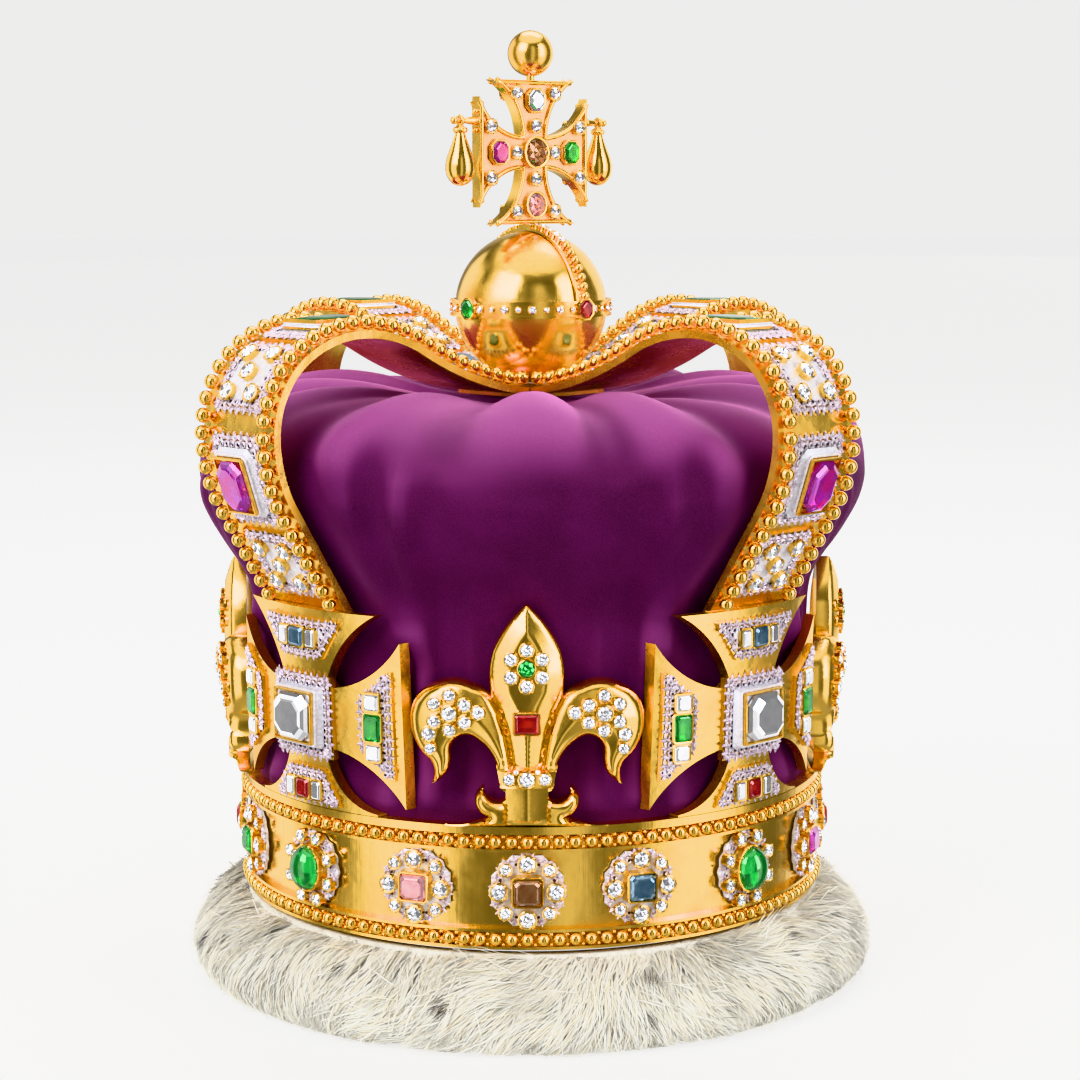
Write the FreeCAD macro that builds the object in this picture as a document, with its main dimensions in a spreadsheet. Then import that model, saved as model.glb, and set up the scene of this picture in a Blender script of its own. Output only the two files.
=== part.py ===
"""An arched crown: a jewelled circlet with a band of fur, a velvet cap, four crosses and four fleurs, two
crossing arches edged with beads, and on top an orb with a cross, a ball and two hanging drops.

Millimetres. +Z is up, and the origin is the middle of the fur's flat underside. The front fleur faces -Y. An
azimuth of 0 looks at that fleur, and 90 is the crown's own right as the viewer sees it, at +X.
"""
import FreeCAD, Part
import Sketcher
import math
import os
from FreeCAD import Matrix, Placement, Rotation, Vector

# Driving dimensions: alias, length in mm (or a count), what it is
SIZES = [
    ("bead_circle", 104.0, "radius of the circle through the circlet's beads"),
    ("bead_radius", 2.2, "circlet bead"),
    ("bead_count", 124, "beads in a row of the circlet"),
    ("bead_wire", 0.6, "radius of the wire that the circlet's beads share"),
    ("lower_row", 35.0, "height of the lower bead row"),
    ("upper_row", 68.0, "height of the upper bead row"),
    ("band_inner", 100.0, "circlet, inner radius"),
    ("band_outer", 102.4, "circlet, radius of its plain face"),
    ("groove_floor", 101.5, "radius of the floor under the beads"),
    ("groove_half", 2.45, "half the height of a bead channel"),
    ("rim_outer", 104.6, "radius of a bead channel's rims"),
    ("rim_height", 1.0, "height of a bead channel's rim"),
    ("flange_root", 0.5, "how far channels and strip run into the band"),
    ("strip_outer", 105.0, "radius of the strip that the crosses stand on"),
    ("strip_top", 73.2, "top of that strip"),
    ("joint_gap", 0.25, "gap between two pieces that meet"),
    ("fur_inner", 98.0, "fur band, inner radius"),
    ("fur_foot", 117.0, "radius where the fur leaves the table"),
    ("fur_outer", 125.0, "fur band, widest radius"),
    ("fur_widest", 7.0, "height where the fur is widest"),
    ("fur_shoulder", 106.0, "radius where the fur meets the circlet"),
    ("fur_top", 31.3, "top of the fur"),
    ("fur_foot_round", 10.0, "radius of the fur's lower edge"),
    ("fur_side_round", 30.0, "radius of the fur's side"),
    ("cap_wall", 1.8, "velvet and its backing"),
    ("setting_radius", 12.9, "back plate of a circlet jewel"),
    ("setting_plate", 1.2, "thickness of that plate"),
    ("setting_height", 51.5, "height of the middle of the circlet"),
    ("large_collet", 3.3, "radius of a large round stone's collet"),
    ("large_collet_height", 3.0, "its height over the plate"),
    ("large_collet_out", 9.2, "its distance from the middle stone"),
    ("small_collet", 2.1, "radius of a small round stone's collet"),
    ("small_collet_height", 2.4, "its height over the plate"),
    ("small_collet_out", 9.9, "its distance from the middle stone"),
    ("solder", 0.2, "how far a collet is sunk into its plate"),
    ("step_seat", 1.6, "height of a step-cut stone's seat over the circlet's plate"),
    ("oval_seat", 3.7, "height of an oval stone's seat over that plate"),
    ("oval_seat_tall", 8.4, "half the height of that seat"),
    ("oval_seat_wide", 7.1, "half its width"),
    ("collet_wall", 0.8, "wall round a big stone"),
    ("collet_lip", 1.4, "how far that wall stands up round its stone"),
    ("circlet_stone_width", 9.3, "step-cut stone of the circlet"),
    ("circlet_stone_tall", 8.8, "the same, upwards"),
    ("circlet_stone_rise", 3.4, "how far it stands out of its seat"),
    ("cabochon_width", 13.0, "oval stone of the circlet"),
    ("cabochon_tall", 15.6, "the same, upwards"),
    ("cabochon_dome", 5.6, "how far the oval stone stands out"),
    ("plate_foot_radius", 105.0, "outer face of the crosses at the strip"),
    ("plate_tip_radius", 108.0, "outer face of the crosses at their tops"),
    ("plate_tip", 147.0, "height where that radius is measured"),
    ("cross_plate", 4.0, "thickness of a cross"),
    ("cross_middle", 105.0, "height of a cross's middle"),
    ("panel_raise", 1.2, "how far a filigree panel stands out"),
    ("cross_stone_width", 17.6, "big stone of a cross"),
    ("cross_stone_tall", 16.0, "the same, upwards"),
    ("cross_stone_rise", 3.6, "how far it stands out of its seat"),
    ("cross_collet_height", 4.6, "its collet over the panel"),
    ("fleur_back", 103.2, "radius of a fleur's back"),
    ("fleur_plate", 5.4, "thickness of a fleur's side"),
    ("petal_raise", 2.4, "how far its middle petal stands out further"),
    ("leaf_raise", 4.2, "how far its side leaves stand out further"),
    ("fleur_above", 2.0, "how far its walls are carried above the crosses' tops"),
    ("fleur_stone_width", 8.0, "red stone of a fleur"),
    ("fleur_stone_tall", 6.0, "the same, upwards"),
    ("fleur_stone_height", 109.2, "height of its middle"),
    ("fleur_stone_rise", 2.2, "how far it stands out of its seat"),
    ("fleur_seat", 0.9, "height of that seat over the petal"),
    ("arch_width", 37.0, "width of an arch"),
    ("arch_plate", 2.6, "thickness of an arch"),
    ("arch_panel_width", 26.0, "width of an arch's raised panels"),
    ("arch_panel_raise", 1.0, "how far they stand out"),
    ("arch_row", 16.0, "bead row from the middle of the arch"),
    ("arch_bead", 2.5, "arch bead radius"),
    ("arch_bead_pitch", 5.8, "from bead to bead"),
    ("arch_bead_wire", 0.7, "radius of the wire that they share"),
    ("arch_corner", 8.0, "radius of a bead row's turn at the crossing"),
    ("arch_stone_width", 13.0, "octagonal stone of an arch"),
    ("arch_stone_long", 18.0, "the same, along the arch"),
    ("shoulder_stone_width", 15.0, "flat stone on an arch's shoulder"),
    ("shoulder_stone_long", 21.0, "the same, along the arch"),
    ("arch_bead_lift", 0.2, "gap between a bead and the arch"),
    ("foot_room_inner", 103.3, "an arch's foot stays inside this radius behind its cross"),
    ("foot_room_low", 132.0, "from this height"),
    ("foot_room_top", 141.75, "to this one"),
    ("crossing_low", 207.1, "underside of the plate where the arches cross"),
    ("crossing_top", 210.7, "its top, under the orb"),
    ("orb_radius", 27.1, "orb"),
    ("orb_height", 238.1, "height of the orb's middle"),
    ("orb_turn", 42.0, "how far the orb and its cross are turned, in degrees"),
    ("belt_outer", 28.3, "radius of the orb's belt"),
    ("belt_rim", 28.9, "radius of the belt's two rims"),
    ("belt_half", 2.9, "half the belt's height"),
    ("belt_rim_height", 0.8, "height of one rim"),
    ("hoop_width", 6.0, "width of the hoop over the orb"),
    ("seat_sink", 0.6, "how far the cross's seat is sunk into the hoop"),
    ("top_cross_foot", 267.5, "underside of the top cross"),
    ("top_cross_half", 25.2, "half the height and width of the top cross"),
    ("top_cross_flare", 19.2, "half the width of an arm's end"),
    ("top_cross_neck", 5.9, "half the width of an arm at the middle"),
    ("top_cross_plate", 4.0, "thickness of the top cross"),
    ("top_cross_border", 1.5, "width of its raised border"),
    ("top_cross_recess", 0.5, "depth of its face inside the border"),
    ("top_collet_height", 2.0, "height of its collets"),
    ("top_collet_sink", 0.8, "how far they are sunk into the plate"),
    ("ball_radius", 8.07, "ball on the top cross"),
    ("ball_height", 327.4, "height of the ball's middle"),
    ("ball_stem", 1.4, "radius of the stem under the ball"),
    ("drop_out", 32.5, "from the crown's axis to a drop's middle"),
    ("drop_pin_height", 303.5, "height of the pin that a drop hangs on"),
    ("drop_pin", 0.86, "radius of that pin"),
    ("drop_eye", 1.5, "radius of the drop's eye, at the middle of its wire"),
    ("drop_eye_wire", 0.55, "radius of the eye's wire"),
    ("drop_belly", 5.2, "radius of the drop"),
    ("drop_long", 21.0, "length of the drop below its eye"),
    ("arm_root", 1.7, "radius of a drop arm at the cross"),
    ("arm_short", 1.2, "from the end of an arm's taper to the drop's middle"),
    ("arm_pin_long", 4.4, "length of the pin beyond the taper"),
    ("arm_knob", 1.3, "radius of the knob at the pin's end"),
    ("root_bead", 1.0, "radius of the beads round an arm's root"),
]

# How the pieces stand round the crown
QUARTERS = [("front", 0), ("right", 90), ("back", 180), ("left", 270)]
CORNERS = [("front_right", 45), ("back_right", 135), ("back_left", 225), ("front_left", 315)]
BESIDE_FLEUR = 20.8  # degrees from a fleur to the circlet jewel beside it

doc = FreeCAD.newDocument("ArchedCrown")
sheet = doc.addObject("Spreadsheet::Sheet", "Sizes")
for line, (alias, amount, note) in enumerate(SIZES, 1):
    sheet.set(f"A{line}", note)
    sheet.set(f"B{line}", str(amount))
    sheet.setAlias(f"B{line}", alias)
doc.recompute()

nodes = []


def size(rule):
    """The length that a rule gives now. A rule is cell names and numbers, added or taken away in turn."""
    total, sign = 0.0, 1
    for word in str(rule).split():
        if word in ("+", "-"):
            sign = 1 if word == "+" else -1
        else:
            total += sign * (float(sheet.get(word)) if word[0].isalpha() else float(word))
    return total


def spelled(rule):
    """The same rule as an expression on the sheet."""
    words = [f"Sizes.{word}" if word[0].isalpha() else word for word in str(rule).split()]
    return " ".join(words)


def bind(thing, **rules):
    """Sets each property of a thing from a rule, and ties it to the sheet."""
    for name, rule in rules.items():
        setattr(thing, name, size(rule))
        thing.setExpression(name, spelled(rule))
    return thing


def named(label, thing):
    """Makes an object one of the crown's sub-parts."""
    thing.Label = label
    nodes.append(thing)
    return thing


def primitive(kind, name, place=None, **rules):
    thing = bind(doc.addObject(f"Part::{kind}", name), **rules)
    thing.Placement = place or Placement()
    return thing


def combined(kind, name, first, second):
    """Part::Cut or Part::Common of two objects."""
    thing = doc.addObject(f"Part::{kind}", name)
    thing.Base = first
    thing.Tool = second
    return thing


def fused(name, pieces):
    thing = doc.addObject("Part::MultiFuse", name)
    thing.Shapes = pieces
    return thing


def ring(name, inner, outer, low, high):
    """A plain ring about the crown's axis between two heights."""
    walls = []
    for part, radius in (("outer", outer), ("inner", inner)):
        wall = primitive("Cylinder", f"{name}_{part}", Radius=radius)
        wall.Placement.Base.z = size(low)
        wall.setExpression("Placement.Base.z", spelled(low))
        wall.Height = size(high) - size(low)
        wall.setExpression("Height", f"({spelled(high)}) - ({spelled(low)})")
        walls.append(wall)
    return combined("Cut", name, walls[0], walls[1])


def facing(azimuth, radius, height, lean=90.0):
    """A place on the crown whose own +Z points outward, +Y up along the surface and +X round the crown.
    lean is the surface's slope in degrees, 90 for an upright one."""
    turn, slope = math.radians(azimuth), math.radians(lean)
    outward = Vector(math.sin(turn), -math.cos(turn), 0)
    across = Vector(math.cos(turn), math.sin(turn), 0)
    along = outward * math.cos(slope) + Vector(0, 0, math.sin(slope))
    normal = across.cross(along)
    frame = Matrix(across.x, along.x, normal.x, 0, across.y, along.y, normal.y, 0,
                   across.z, along.z, normal.z, 0)
    return Placement(outward * radius + Vector(0, 0, height), Placement(frame).Rotation)


def lifted(place, x=0.0, y=0.0, z=0.0):
    """The same place moved along its own axes."""
    return place.multiply(Placement(Vector(x, y, z), Rotation()))


def box(name, place, width, tall, deep):
    """A box with its middle on the place, standing outward from it."""
    corner = lifted(place, -size(width) / 2, -size(tall) / 2)
    return primitive("Box", name, corner, Length=width, Width=tall, Height=deep)


def collet(name, place, width, tall, base):
    """A box-shaped setting with a wall standing up round its stone."""
    walls = "collet_wall + collet_wall"
    outer = box(f"{name}_outer", place, f"{width} + {walls}", f"{tall} + {walls}", f"{base} + collet_lip")
    room = "joint_gap + joint_gap"
    inner = box(f"{name}_inner", lifted(place, z=size(base)), f"{width} + {room}", f"{tall} + {room}",
                "collet_lip + 1")
    return combined("Cut", name, outer, inner)


GIRDLE_SHARE = 0.35  # of a stone's rise, from its seat to where it starts to narrow
OVERLAP = 0.01  # between two solids that are joined


def step_stone(name, place, width, tall, rise, corner=0.22, table=0.62):
    """A step-cut stone: a prism with cut corners that narrows to a flat table. corner is the share of the shorter
    side that each corner loses, table the table's share of the stone."""
    wide, high, top = size(width), size(tall), size(rise)
    girdle = top * GIRDLE_SHARE
    body = box(f"{name}_body", place, width, tall, rise)
    crown = doc.addObject("Part::Wedge", f"{name}_crown")
    crown.Xmin, crown.Xmax, crown.Zmin, crown.Zmax = 0, wide, 0, high
    crown.Ymin, crown.Ymax = 0, top
    edge_x, edge_z = wide * (1 - table) / 2, high * (1 - table) / 2
    crown.X2min, crown.X2max = edge_x, wide - edge_x
    crown.Z2min, crown.Z2max = edge_z, high - edge_z
    upright = Placement(Vector(-wide / 2, high / 2, girdle), Rotation(Vector(1, 0, 0), 90))
    crown.Placement = place.multiply(upright)
    lower = box(f"{name}_girdle", place, width, tall, girdle + OVERLAP)
    shaped = combined("Common", f"{name}_shaped", fused(f"{name}_sides", [crown, lower]), body)
    reach = wide + high - 2 * corner * min(wide, high)
    turned = place.multiply(Placement(Vector(0, 0, 0), Rotation(Vector(0, 0, 1), 45)))
    diamond = box(f"{name}_corners", turned, reach / math.sqrt(2), reach / math.sqrt(2), rise)
    return combined("Common", name, shaped, diamond)


def outline_sketch(owner, name, loops, plane="XZ_Plane"):
    """A sketch of closed loops. A loop is a list of edges, ("line", start, end) or ("arc", start, through, end)."""
    sketch = owner.newObject("Sketcher::SketchObject", name)
    origin = [o for o in owner.Origin.OriginFeatures if o.Role == plane][0]
    sketch.AttachmentSupport = [(origin, "")]
    sketch.MapMode = "FlatFace"
    for loop in loops:
        for kind, *points in loop:
            ends = [Vector(x, y, 0) for x, y in points]
            if kind == "line":
                sketch.addGeometry(Part.LineSegment(*ends))
            else:
                sketch.addGeometry(Part.Arc(*ends))
    return sketch


def padded(owner, name, loops, thickness, both_ways=True):
    """A Pad of closed loops drawn on the body's XZ plane. One way, it grows towards -Y."""
    pad = owner.newObject("PartDesign::Pad", name)
    pad.Profile = outline_sketch(owner, f"{name}_sketch", loops)
    pad.Midplane = both_ways
    return bind(pad, Length=thickness)


def corner_loop(points):
    """A loop of straight lines through the points."""
    return [("line", point, points[(n + 1) % len(points)]) for n, point in enumerate(points)]


def bound_profile(sketch, corners):
    """Draws a closed section whose corners are tied to the sheet. A row is (r rule, z rule, round), where round is
    the rule of the radius of the arc to the next corner, bulging outward, or None for a straight line."""
    spots = [Vector(size(r), size(z), 0) for r, z, _ in corners]
    for n, (_, _, bend) in enumerate(corners):
        start, end = spots[n], spots[(n + 1) % len(spots)]
        if bend is None:
            sketch.addGeometry(Part.LineSegment(start, end))
            continue
        chord = end - start
        half = chord.Length / 2
        outward = Vector(chord.y, -chord.x, 0).normalize()
        depth = size(bend) - math.sqrt(size(bend) ** 2 - half ** 2)
        sketch.addGeometry(Part.Arc(start, (start + end) * 0.5 + outward * depth, end))
    firsts = []
    for n, (_, _, bend) in enumerate(corners):
        # An arc is stored anticlockwise, so its first point is found by its place
        geometry = sketch.Geometry[n]
        firsts.append(1 if (geometry.StartPoint - spots[n]).Length < 1e-6 else 2)
    for n in range(len(corners)):
        after = (n + 1) % len(corners)
        sketch.addConstraint(Sketcher.Constraint("Coincident", n, 3 - firsts[n], after, firsts[after]))
    for n, (r, z, bend) in enumerate(corners):
        for axis, rule, line in (("DistanceX", r, -2), ("DistanceY", z, -1)):
            if size(rule) == 0:
                sketch.addConstraint(Sketcher.Constraint("PointOnObject", n, firsts[n], line))
                continue
            place = sketch.addConstraint(Sketcher.Constraint(axis, -1, 1, n, firsts[n], size(rule)))
            sketch.setExpression(f"Constraints[{place}]", spelled(rule))
        if bend is not None:
            place = sketch.addConstraint(Sketcher.Constraint("Radius", n, size(bend)))
            sketch.setExpression(f"Constraints[{place}]", spelled(bend))


def revolved(name, corners):
    """A body turned about Z from a section bound to the sheet."""
    body = doc.addObject("PartDesign::Body", name)
    sketch = outline_sketch(body, f"{name}_section", [])
    bound_profile(sketch, corners)
    turn = body.newObject("PartDesign::Revolution", f"{name}_turn")
    turn.Profile = sketch
    turn.ReferenceAxis = (sketch, ["V_Axis"])
    turn.Angle = 360
    return body


def turned_copy(label, master, azimuth):
    """A parametric copy of a finished piece, turned about the crown's axis."""
    body = doc.addObject("PartDesign::Body", label)
    base = doc.addObject("PartDesign::FeatureBase", f"{label}_base")
    base.BaseFeature = master
    body.Group = [base]
    body.Tip = base
    body.Placement = Placement(Vector(), Rotation(Vector(0, 0, 1), azimuth))
    return named(label, body)


# The fur band
FUR_SECTION = [
    ("fur_inner", "0", None),
    ("fur_foot", "0", "fur_foot_round"),
    ("fur_outer", "fur_widest", "fur_side_round"),
    ("fur_shoulder", "fur_top", None),
    ("fur_inner", "fur_top", None),
]


def fur_band():
    """The outer form of the fur, a thick ring that the crown stands on."""
    named("fur_band", revolved("fur_band", FUR_SECTION))


# The circlet with its channels, bead rows, settings and stones
def circlet():
    """One soldered ring: the plain band, a channel for each bead row and the strip above."""
    channel = "groove_half + rim_height"
    band = ring("band", "band_inner", "band_outer", "lower_row - groove_half - rim_height",
                "upper_row + " + channel)
    flanges = [
        ring(f"{row}_flange", "band_outer - flange_root", "rim_outer", f"{row} - groove_half - rim_height",
             f"{row} + {channel}")
        for row in ("lower_row", "upper_row")
    ]
    strip = ring("strip", "band_inner", "strip_outer", f"upper_row + {channel} - flange_root", "strip_top")
    grooves = [
        ring(f"{row}_groove", "groove_floor", "rim_outer + 1", f"{row} - groove_half", f"{row} + groove_half")
        for row in ("lower_row", "upper_row")
    ]
    whole = fused("circlet_metal", [band, strip] + flanges)
    named("circlet", combined("Cut", "circlet", whole, fused("circlet_grooves", grooves)))


def circlet_beads(label, height):
    """A row of beads made as one body: a wire ring, one bead, and the bead's pattern round the axis."""
    body = doc.addObject("PartDesign::Body", label)
    wire = body.newObject("PartDesign::AdditiveTorus", f"{label}_wire")
    bind(wire, Radius1="bead_circle", Radius2="bead_wire")
    bead = body.newObject("PartDesign::AdditiveSphere", f"{label}_bead")
    bind(bead, Radius="bead_radius")
    bead.Placement.Base = Vector(size("bead_circle"), 0, 0)
    bead.setExpression("Placement.Base.x", spelled("bead_circle"))
    pattern = body.newObject("PartDesign::PolarPattern", f"{label}_pattern")
    pattern.Originals = [bead]
    pattern.Axis = ([o for o in body.Origin.OriginFeatures if o.Role == "Z_Axis"][0], [""])
    pattern.Angle = 360
    pattern.Occurrences = int(size("bead_count"))
    pattern.setExpression("Occurrences", spelled("bead_count"))
    body.Tip = pattern
    body.Placement.Base.z = size(height)
    body.setExpression("Placement.Base.z", spelled(height))
    named(label, body)


def circlet_places():
    """Azimuth and kind of the sixteen jewels: cabochons under the crosses, step-cut stones elsewhere."""
    rows = []
    for quarter in range(4):
        middle = 90 * quarter
        rows += [(middle, "step"), (middle + BESIDE_FLEUR, "step"), (middle + 45, "oval"),
                 (middle + 90 - BESIDE_FLEUR, "step")]
    return rows


def circlet_setting(name, place, kind):
    """A back plate with a collet for the middle stone and two sizes of round collets about it."""
    plate = primitive("Cylinder", f"{name}_plate", place, Radius="setting_radius", Height="setting_plate")
    face = lifted(place, z=size("setting_plate - solder"))
    pieces = [plate]
    for n in range(8):
        big = n % 2 == 0
        kind_name = "large_collet" if big else "small_collet"
        out, turn = size(f"{kind_name}_out"), math.radians(45 * n)
        spot = lifted(face, out * math.cos(turn), out * math.sin(turn))
        pieces.append(primitive("Cylinder", f"{name}_collet_{n}", spot, Radius=kind_name,
                                Height=f"{kind_name}_height"))
    if kind == "step":
        pieces.append(collet(f"{name}_middle", face, "circlet_stone_width", "circlet_stone_tall",
                             "step_seat"))
    else:
        oval = doc.addObject("Part::Ellipse", f"{name}_seat_edge")
        bind(oval, MajorRadius="oval_seat_tall", MinorRadius="oval_seat_wide")
        oval.Placement = face.multiply(Placement(Vector(0, 0, 0), Rotation(Vector(0, 0, 1), 90)))
        seat = doc.addObject("Part::Extrusion", f"{name}_seat")
        seat.Base, seat.Solid, seat.DirMode = oval, True, "Custom"
        seat.Dir = place.Rotation.multVec(Vector(0, 0, 1))
        bind(seat, LengthFwd="oval_seat")
        pieces.append(seat)
    return fused(name, pieces)


def circlet_jewels():
    """The settings, all soldered to the band and kept as one node, and each big stone by itself."""
    settings = []
    for n, (azimuth, kind) in enumerate(circlet_places(), 1):
        seat = facing(azimuth, size("band_outer + joint_gap"), size("setting_height"))
        settings.append(circlet_setting(f"setting_{n:02d}", seat, kind))
        label = f"circlet_stone_{n:02d}"
        if kind == "step":
            base = lifted(seat, z=size("setting_plate - solder + step_seat + joint_gap"))
            stone = step_stone(label, base, "circlet_stone_width", "circlet_stone_tall", "circlet_stone_rise")
        else:
            base = lifted(seat, z=size("setting_plate - solder + oval_seat + joint_gap"))
            stone = cabochon(label, base)
        named(label, stone)
    whole = doc.addObject("Part::Compound", "circlet_settings")
    whole.Links = settings
    named("circlet_settings", whole)


def cabochon(name, place):
    """Half an ellipsoid on a flat back."""
    egg = doc.addObject("Part::Ellipsoid", f"{name}_egg")
    egg.Radius1 = size("cabochon_dome")
    egg.Radius2 = size("cabochon_width") / 2
    egg.Radius3 = size("cabochon_tall") / 2
    egg.setExpression("Radius1", "Sizes.cabochon_dome")
    egg.setExpression("Radius2", "Sizes.cabochon_width / 2")
    egg.setExpression("Radius3", "Sizes.cabochon_tall / 2")
    egg.Placement = place
    front = box(f"{name}_front", place, "cabochon_width + 1", "cabochon_tall + 1", "cabochon_dome + 1")
    return combined("Common", name, egg, front)


# The crosses. Points are (across, up) from the cross's middle, in the view straight at it
ARM_SIDE = {"neck": (13.0, 10.4), "through": (27.3, 15.0), "tip": (40.4, 28.0)}
ARM_TOP = {"neck": (12.4, 11.0), "through": (24.0, 17.4), "tip": (36.5, 31.8)}
ARM_FOOT = {"neck": (12.4, 9.6), "through": (24.5, 16.0), "tip": (30.9, 30.0)}
CROSS_FOOT = 31.55  # from the cross's middle down to the strip
PANELS = [  # direction, (out, half width) at the near end, (out, half width) at the far end
    ("up", (19.7, 9.8), (33.2, 18.8)),
    ("right", (25.0, 9.2), (38.0, 18.4)),
    ("down", (18.0, 9.4), (30.2, 16.2)),
    ("left", (25.0, 9.2), (38.0, 18.4)),
]
MIDDLE_PANEL = (14.2, 14.0)  # half width and half height
AIM = {"up": (0, 1), "right": (1, 0), "down": (0, -1), "left": (-1, 0)}


def arm_point(direction, out, side):
    """A point this far out along an arm and this far to its left."""
    x, y = AIM[direction]
    return (out * x - side * y, out * y + side * x + size("cross_middle"))


def cross_outline():
    """The cross as one closed loop, anticlockwise from the foot's right corner, curved between the arms."""
    low = size("cross_middle") - CROSS_FOOT
    loop = []
    arms = [("right", ARM_SIDE), ("up", ARM_TOP), ("left", ARM_SIDE), ("down", ARM_FOOT)]
    before = ("down", ARM_FOOT)
    for direction, arm in arms:
        old_direction, old = before
        leave = arm_point(old_direction, old["tip"][0], old["tip"][1])
        old_neck = arm_point(old_direction, old["neck"][0], old["neck"][1])
        new_neck = arm_point(direction, arm["neck"][0], -arm["neck"][1])
        arrive = arm_point(direction, arm["tip"][0], -arm["tip"][1])
        loop.append(("arc", leave, arm_point(old_direction, *old["through"]), old_neck))
        loop.append(("line", old_neck, new_neck))
        loop.append(("arc", new_neck, arm_point(direction, arm["through"][0], -arm["through"][1]), arrive))
        end = arm_point(direction, arm["tip"][0], arm["tip"][1])
        if direction == "down":
            corners = [arrive, (arrive[0], low), (end[0], low), end]
            loop += [("line", a, b) for a, b in zip(corners, corners[1:])]
        else:
            loop.append(("line", arrive, end))
        before = (direction, arm)
    return loop


def cone_shell(name, inside, outside):
    """A leaning wall about the axis. inside and outside are added to the crosses' outer radius."""
    walls = []
    for part, extra in (("outer", outside), ("inner", inside)):
        wall = doc.addObject("Part::Cone", f"{name}_{part}")
        bind(wall, Radius1=f"plate_foot_radius + {extra}", Radius2=f"plate_tip_radius + {extra}")
        wall.Placement.Base.z = size("strip_top + joint_gap")
        wall.setExpression("Placement.Base.z", spelled("strip_top + joint_gap"))
        wall.Height = size("plate_tip - strip_top - joint_gap")
        wall.setExpression("Height", spelled("plate_tip - strip_top - joint_gap"))
        walls.append(wall)
    return combined("Cut", name, walls[0], walls[1])


def plate_radius(height):
    """Outer radius of the crosses at a height."""
    low, high = size("strip_top + joint_gap"), size("plate_tip")
    share = (height - low) / (high - low)
    return size("plate_foot_radius") + share * (size("plate_tip_radius") - size("plate_foot_radius"))


FRONT_REACH = "130"  # past the outermost metal of the front half
PANEL_ROOT = "1"  # how far a raised panel runs into its plate


def front_prism(name, loops):
    """Outlines drawn in the front view and carried through the crown's front half."""
    body = doc.addObject("PartDesign::Body", name)
    padded(body, f"{name}_pad", loops, FRONT_REACH, both_ways=False)
    return body


def crosses():
    """Plate, panels and the middle stone's collet are one soldered piece. The rest are turned copies."""
    plate = combined("Common", "cross_plate_cut", front_prism("cross_outline", [cross_outline()]),
                     cone_shell("cross_wall", "0 - cross_plate", "0"))
    pieces = [plate]
    loops = [corner_loop([arm_point(direction, near[0], near[1]), arm_point(direction, near[0], -near[1]),
                          arm_point(direction, far[0], -far[1]), arm_point(direction, far[0], far[1])])
             for direction, near, far in PANELS]
    wide, high = MIDDLE_PANEL
    middle = size("cross_middle")
    loops.append(corner_loop([(-wide, middle - high), (wide, middle - high), (wide, middle + high),
                              (-wide, middle + high)]))
    wall = cone_shell("panel_wall", f"0 - {PANEL_ROOT}", "panel_raise")
    for n, loop in enumerate(loops):
        pieces.append(combined("Common", f"cross_panel_{n}", front_prism(f"panel_outline_{n}", [loop]), wall))
    seat = facing(0, plate_radius(middle), middle)
    pieces.append(collet("cross_collet", seat, "cross_stone_width", "cross_stone_tall",
                         "cross_collet_height"))
    metal = fused("cross_metal", pieces)
    stone_place = lifted(seat, z=size("cross_collet_height + joint_gap"))
    stone = step_stone("cross_gem", stone_place, "cross_stone_width", "cross_stone_tall", "cross_stone_rise")
    for corner, azimuth in CORNERS:
        turned_copy(f"cross_{corner}", metal, azimuth)
        turned_copy(f"cross_stone_{corner}", stone, azimuth)


# The fleurs. Half an outline in the front view, from the foot to the tip: (across, up) and a point on the way
FLEUR_FOOT = (27.0, 74.0)
FLEUR_ARCS = [
    # through, end, what the stretch is
    ((18.9, 74.6), (12.6, 77.3), "foot rising to the horn"),
    ((16.9, 81.0), (14.0, 87.5), "outside of the horn"),
    ((11.4, 82.8), (7.3, 83.2), "inside of the horn"),
    ((6.9, 84.4), (7.0, 85.8), "stem"),
    ((8.3, 86.2), (8.7, 87.6), "collar's lower edge"),
    ((9.2, 91.0), (9.9, 94.2), "collar's side"),
    ((13.4, 100.4), (18.5, 104.1), "under the side leaf"),
    ((22.3, 103.4), (24.7, 98.3), "inside of the leaf's bend"),
    ((26.7, 90.7), (31.4, 87.4), "inside of the leaf's tip"),
    ((30.4, 91.8), (32.0, 95.8), "outside of the leaf's tip"),
    ((36.4, 101.1), (38.1, 107.6), "outside of the leaf"),
    ((36.0, 116.2), (30.5, 120.6), "leaf's shoulder"),
    ((24.2, 122.6), (17.5, 121.1), "leaf's back"),
    ((13.9, 119.6), (11.5, 117.3), "leaf meeting the petal"),
    ((12.2, 125.4), (10.9, 132.6), "petal's side"),
    ((6.9, 139.8), (0.0, 147.8), "petal's point"),
]


def fleur_outline():
    """Both halves of the fleur as one closed loop."""
    low = size("strip_top + joint_gap")
    right = [("line", (FLEUR_FOOT[0], low), FLEUR_FOOT)]
    here = FLEUR_FOOT
    for through, end, _ in FLEUR_ARCS:
        right.append(("arc", here, through, end))
        here = end
    return [("line", (-FLEUR_FOOT[0], low), (FLEUR_FOOT[0], low))] + mirrored_loop(right)


def mirrored_loop(edges):
    """The loop that a half outline makes with its own mirror image across the middle line."""
    return edges + [(kind, *[(-x, y) for x, y in reversed(points)]) for kind, *points in reversed(edges)]


def arc_chain(start, arcs):
    """Edges from a start through a table of (through, end) rows. A row without a through point is a line."""
    edges, here = [], start
    for through, end in arcs:
        edges.append(("line", here, end) if through is None else ("arc", here, through, end))
        here = end
    return edges


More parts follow.
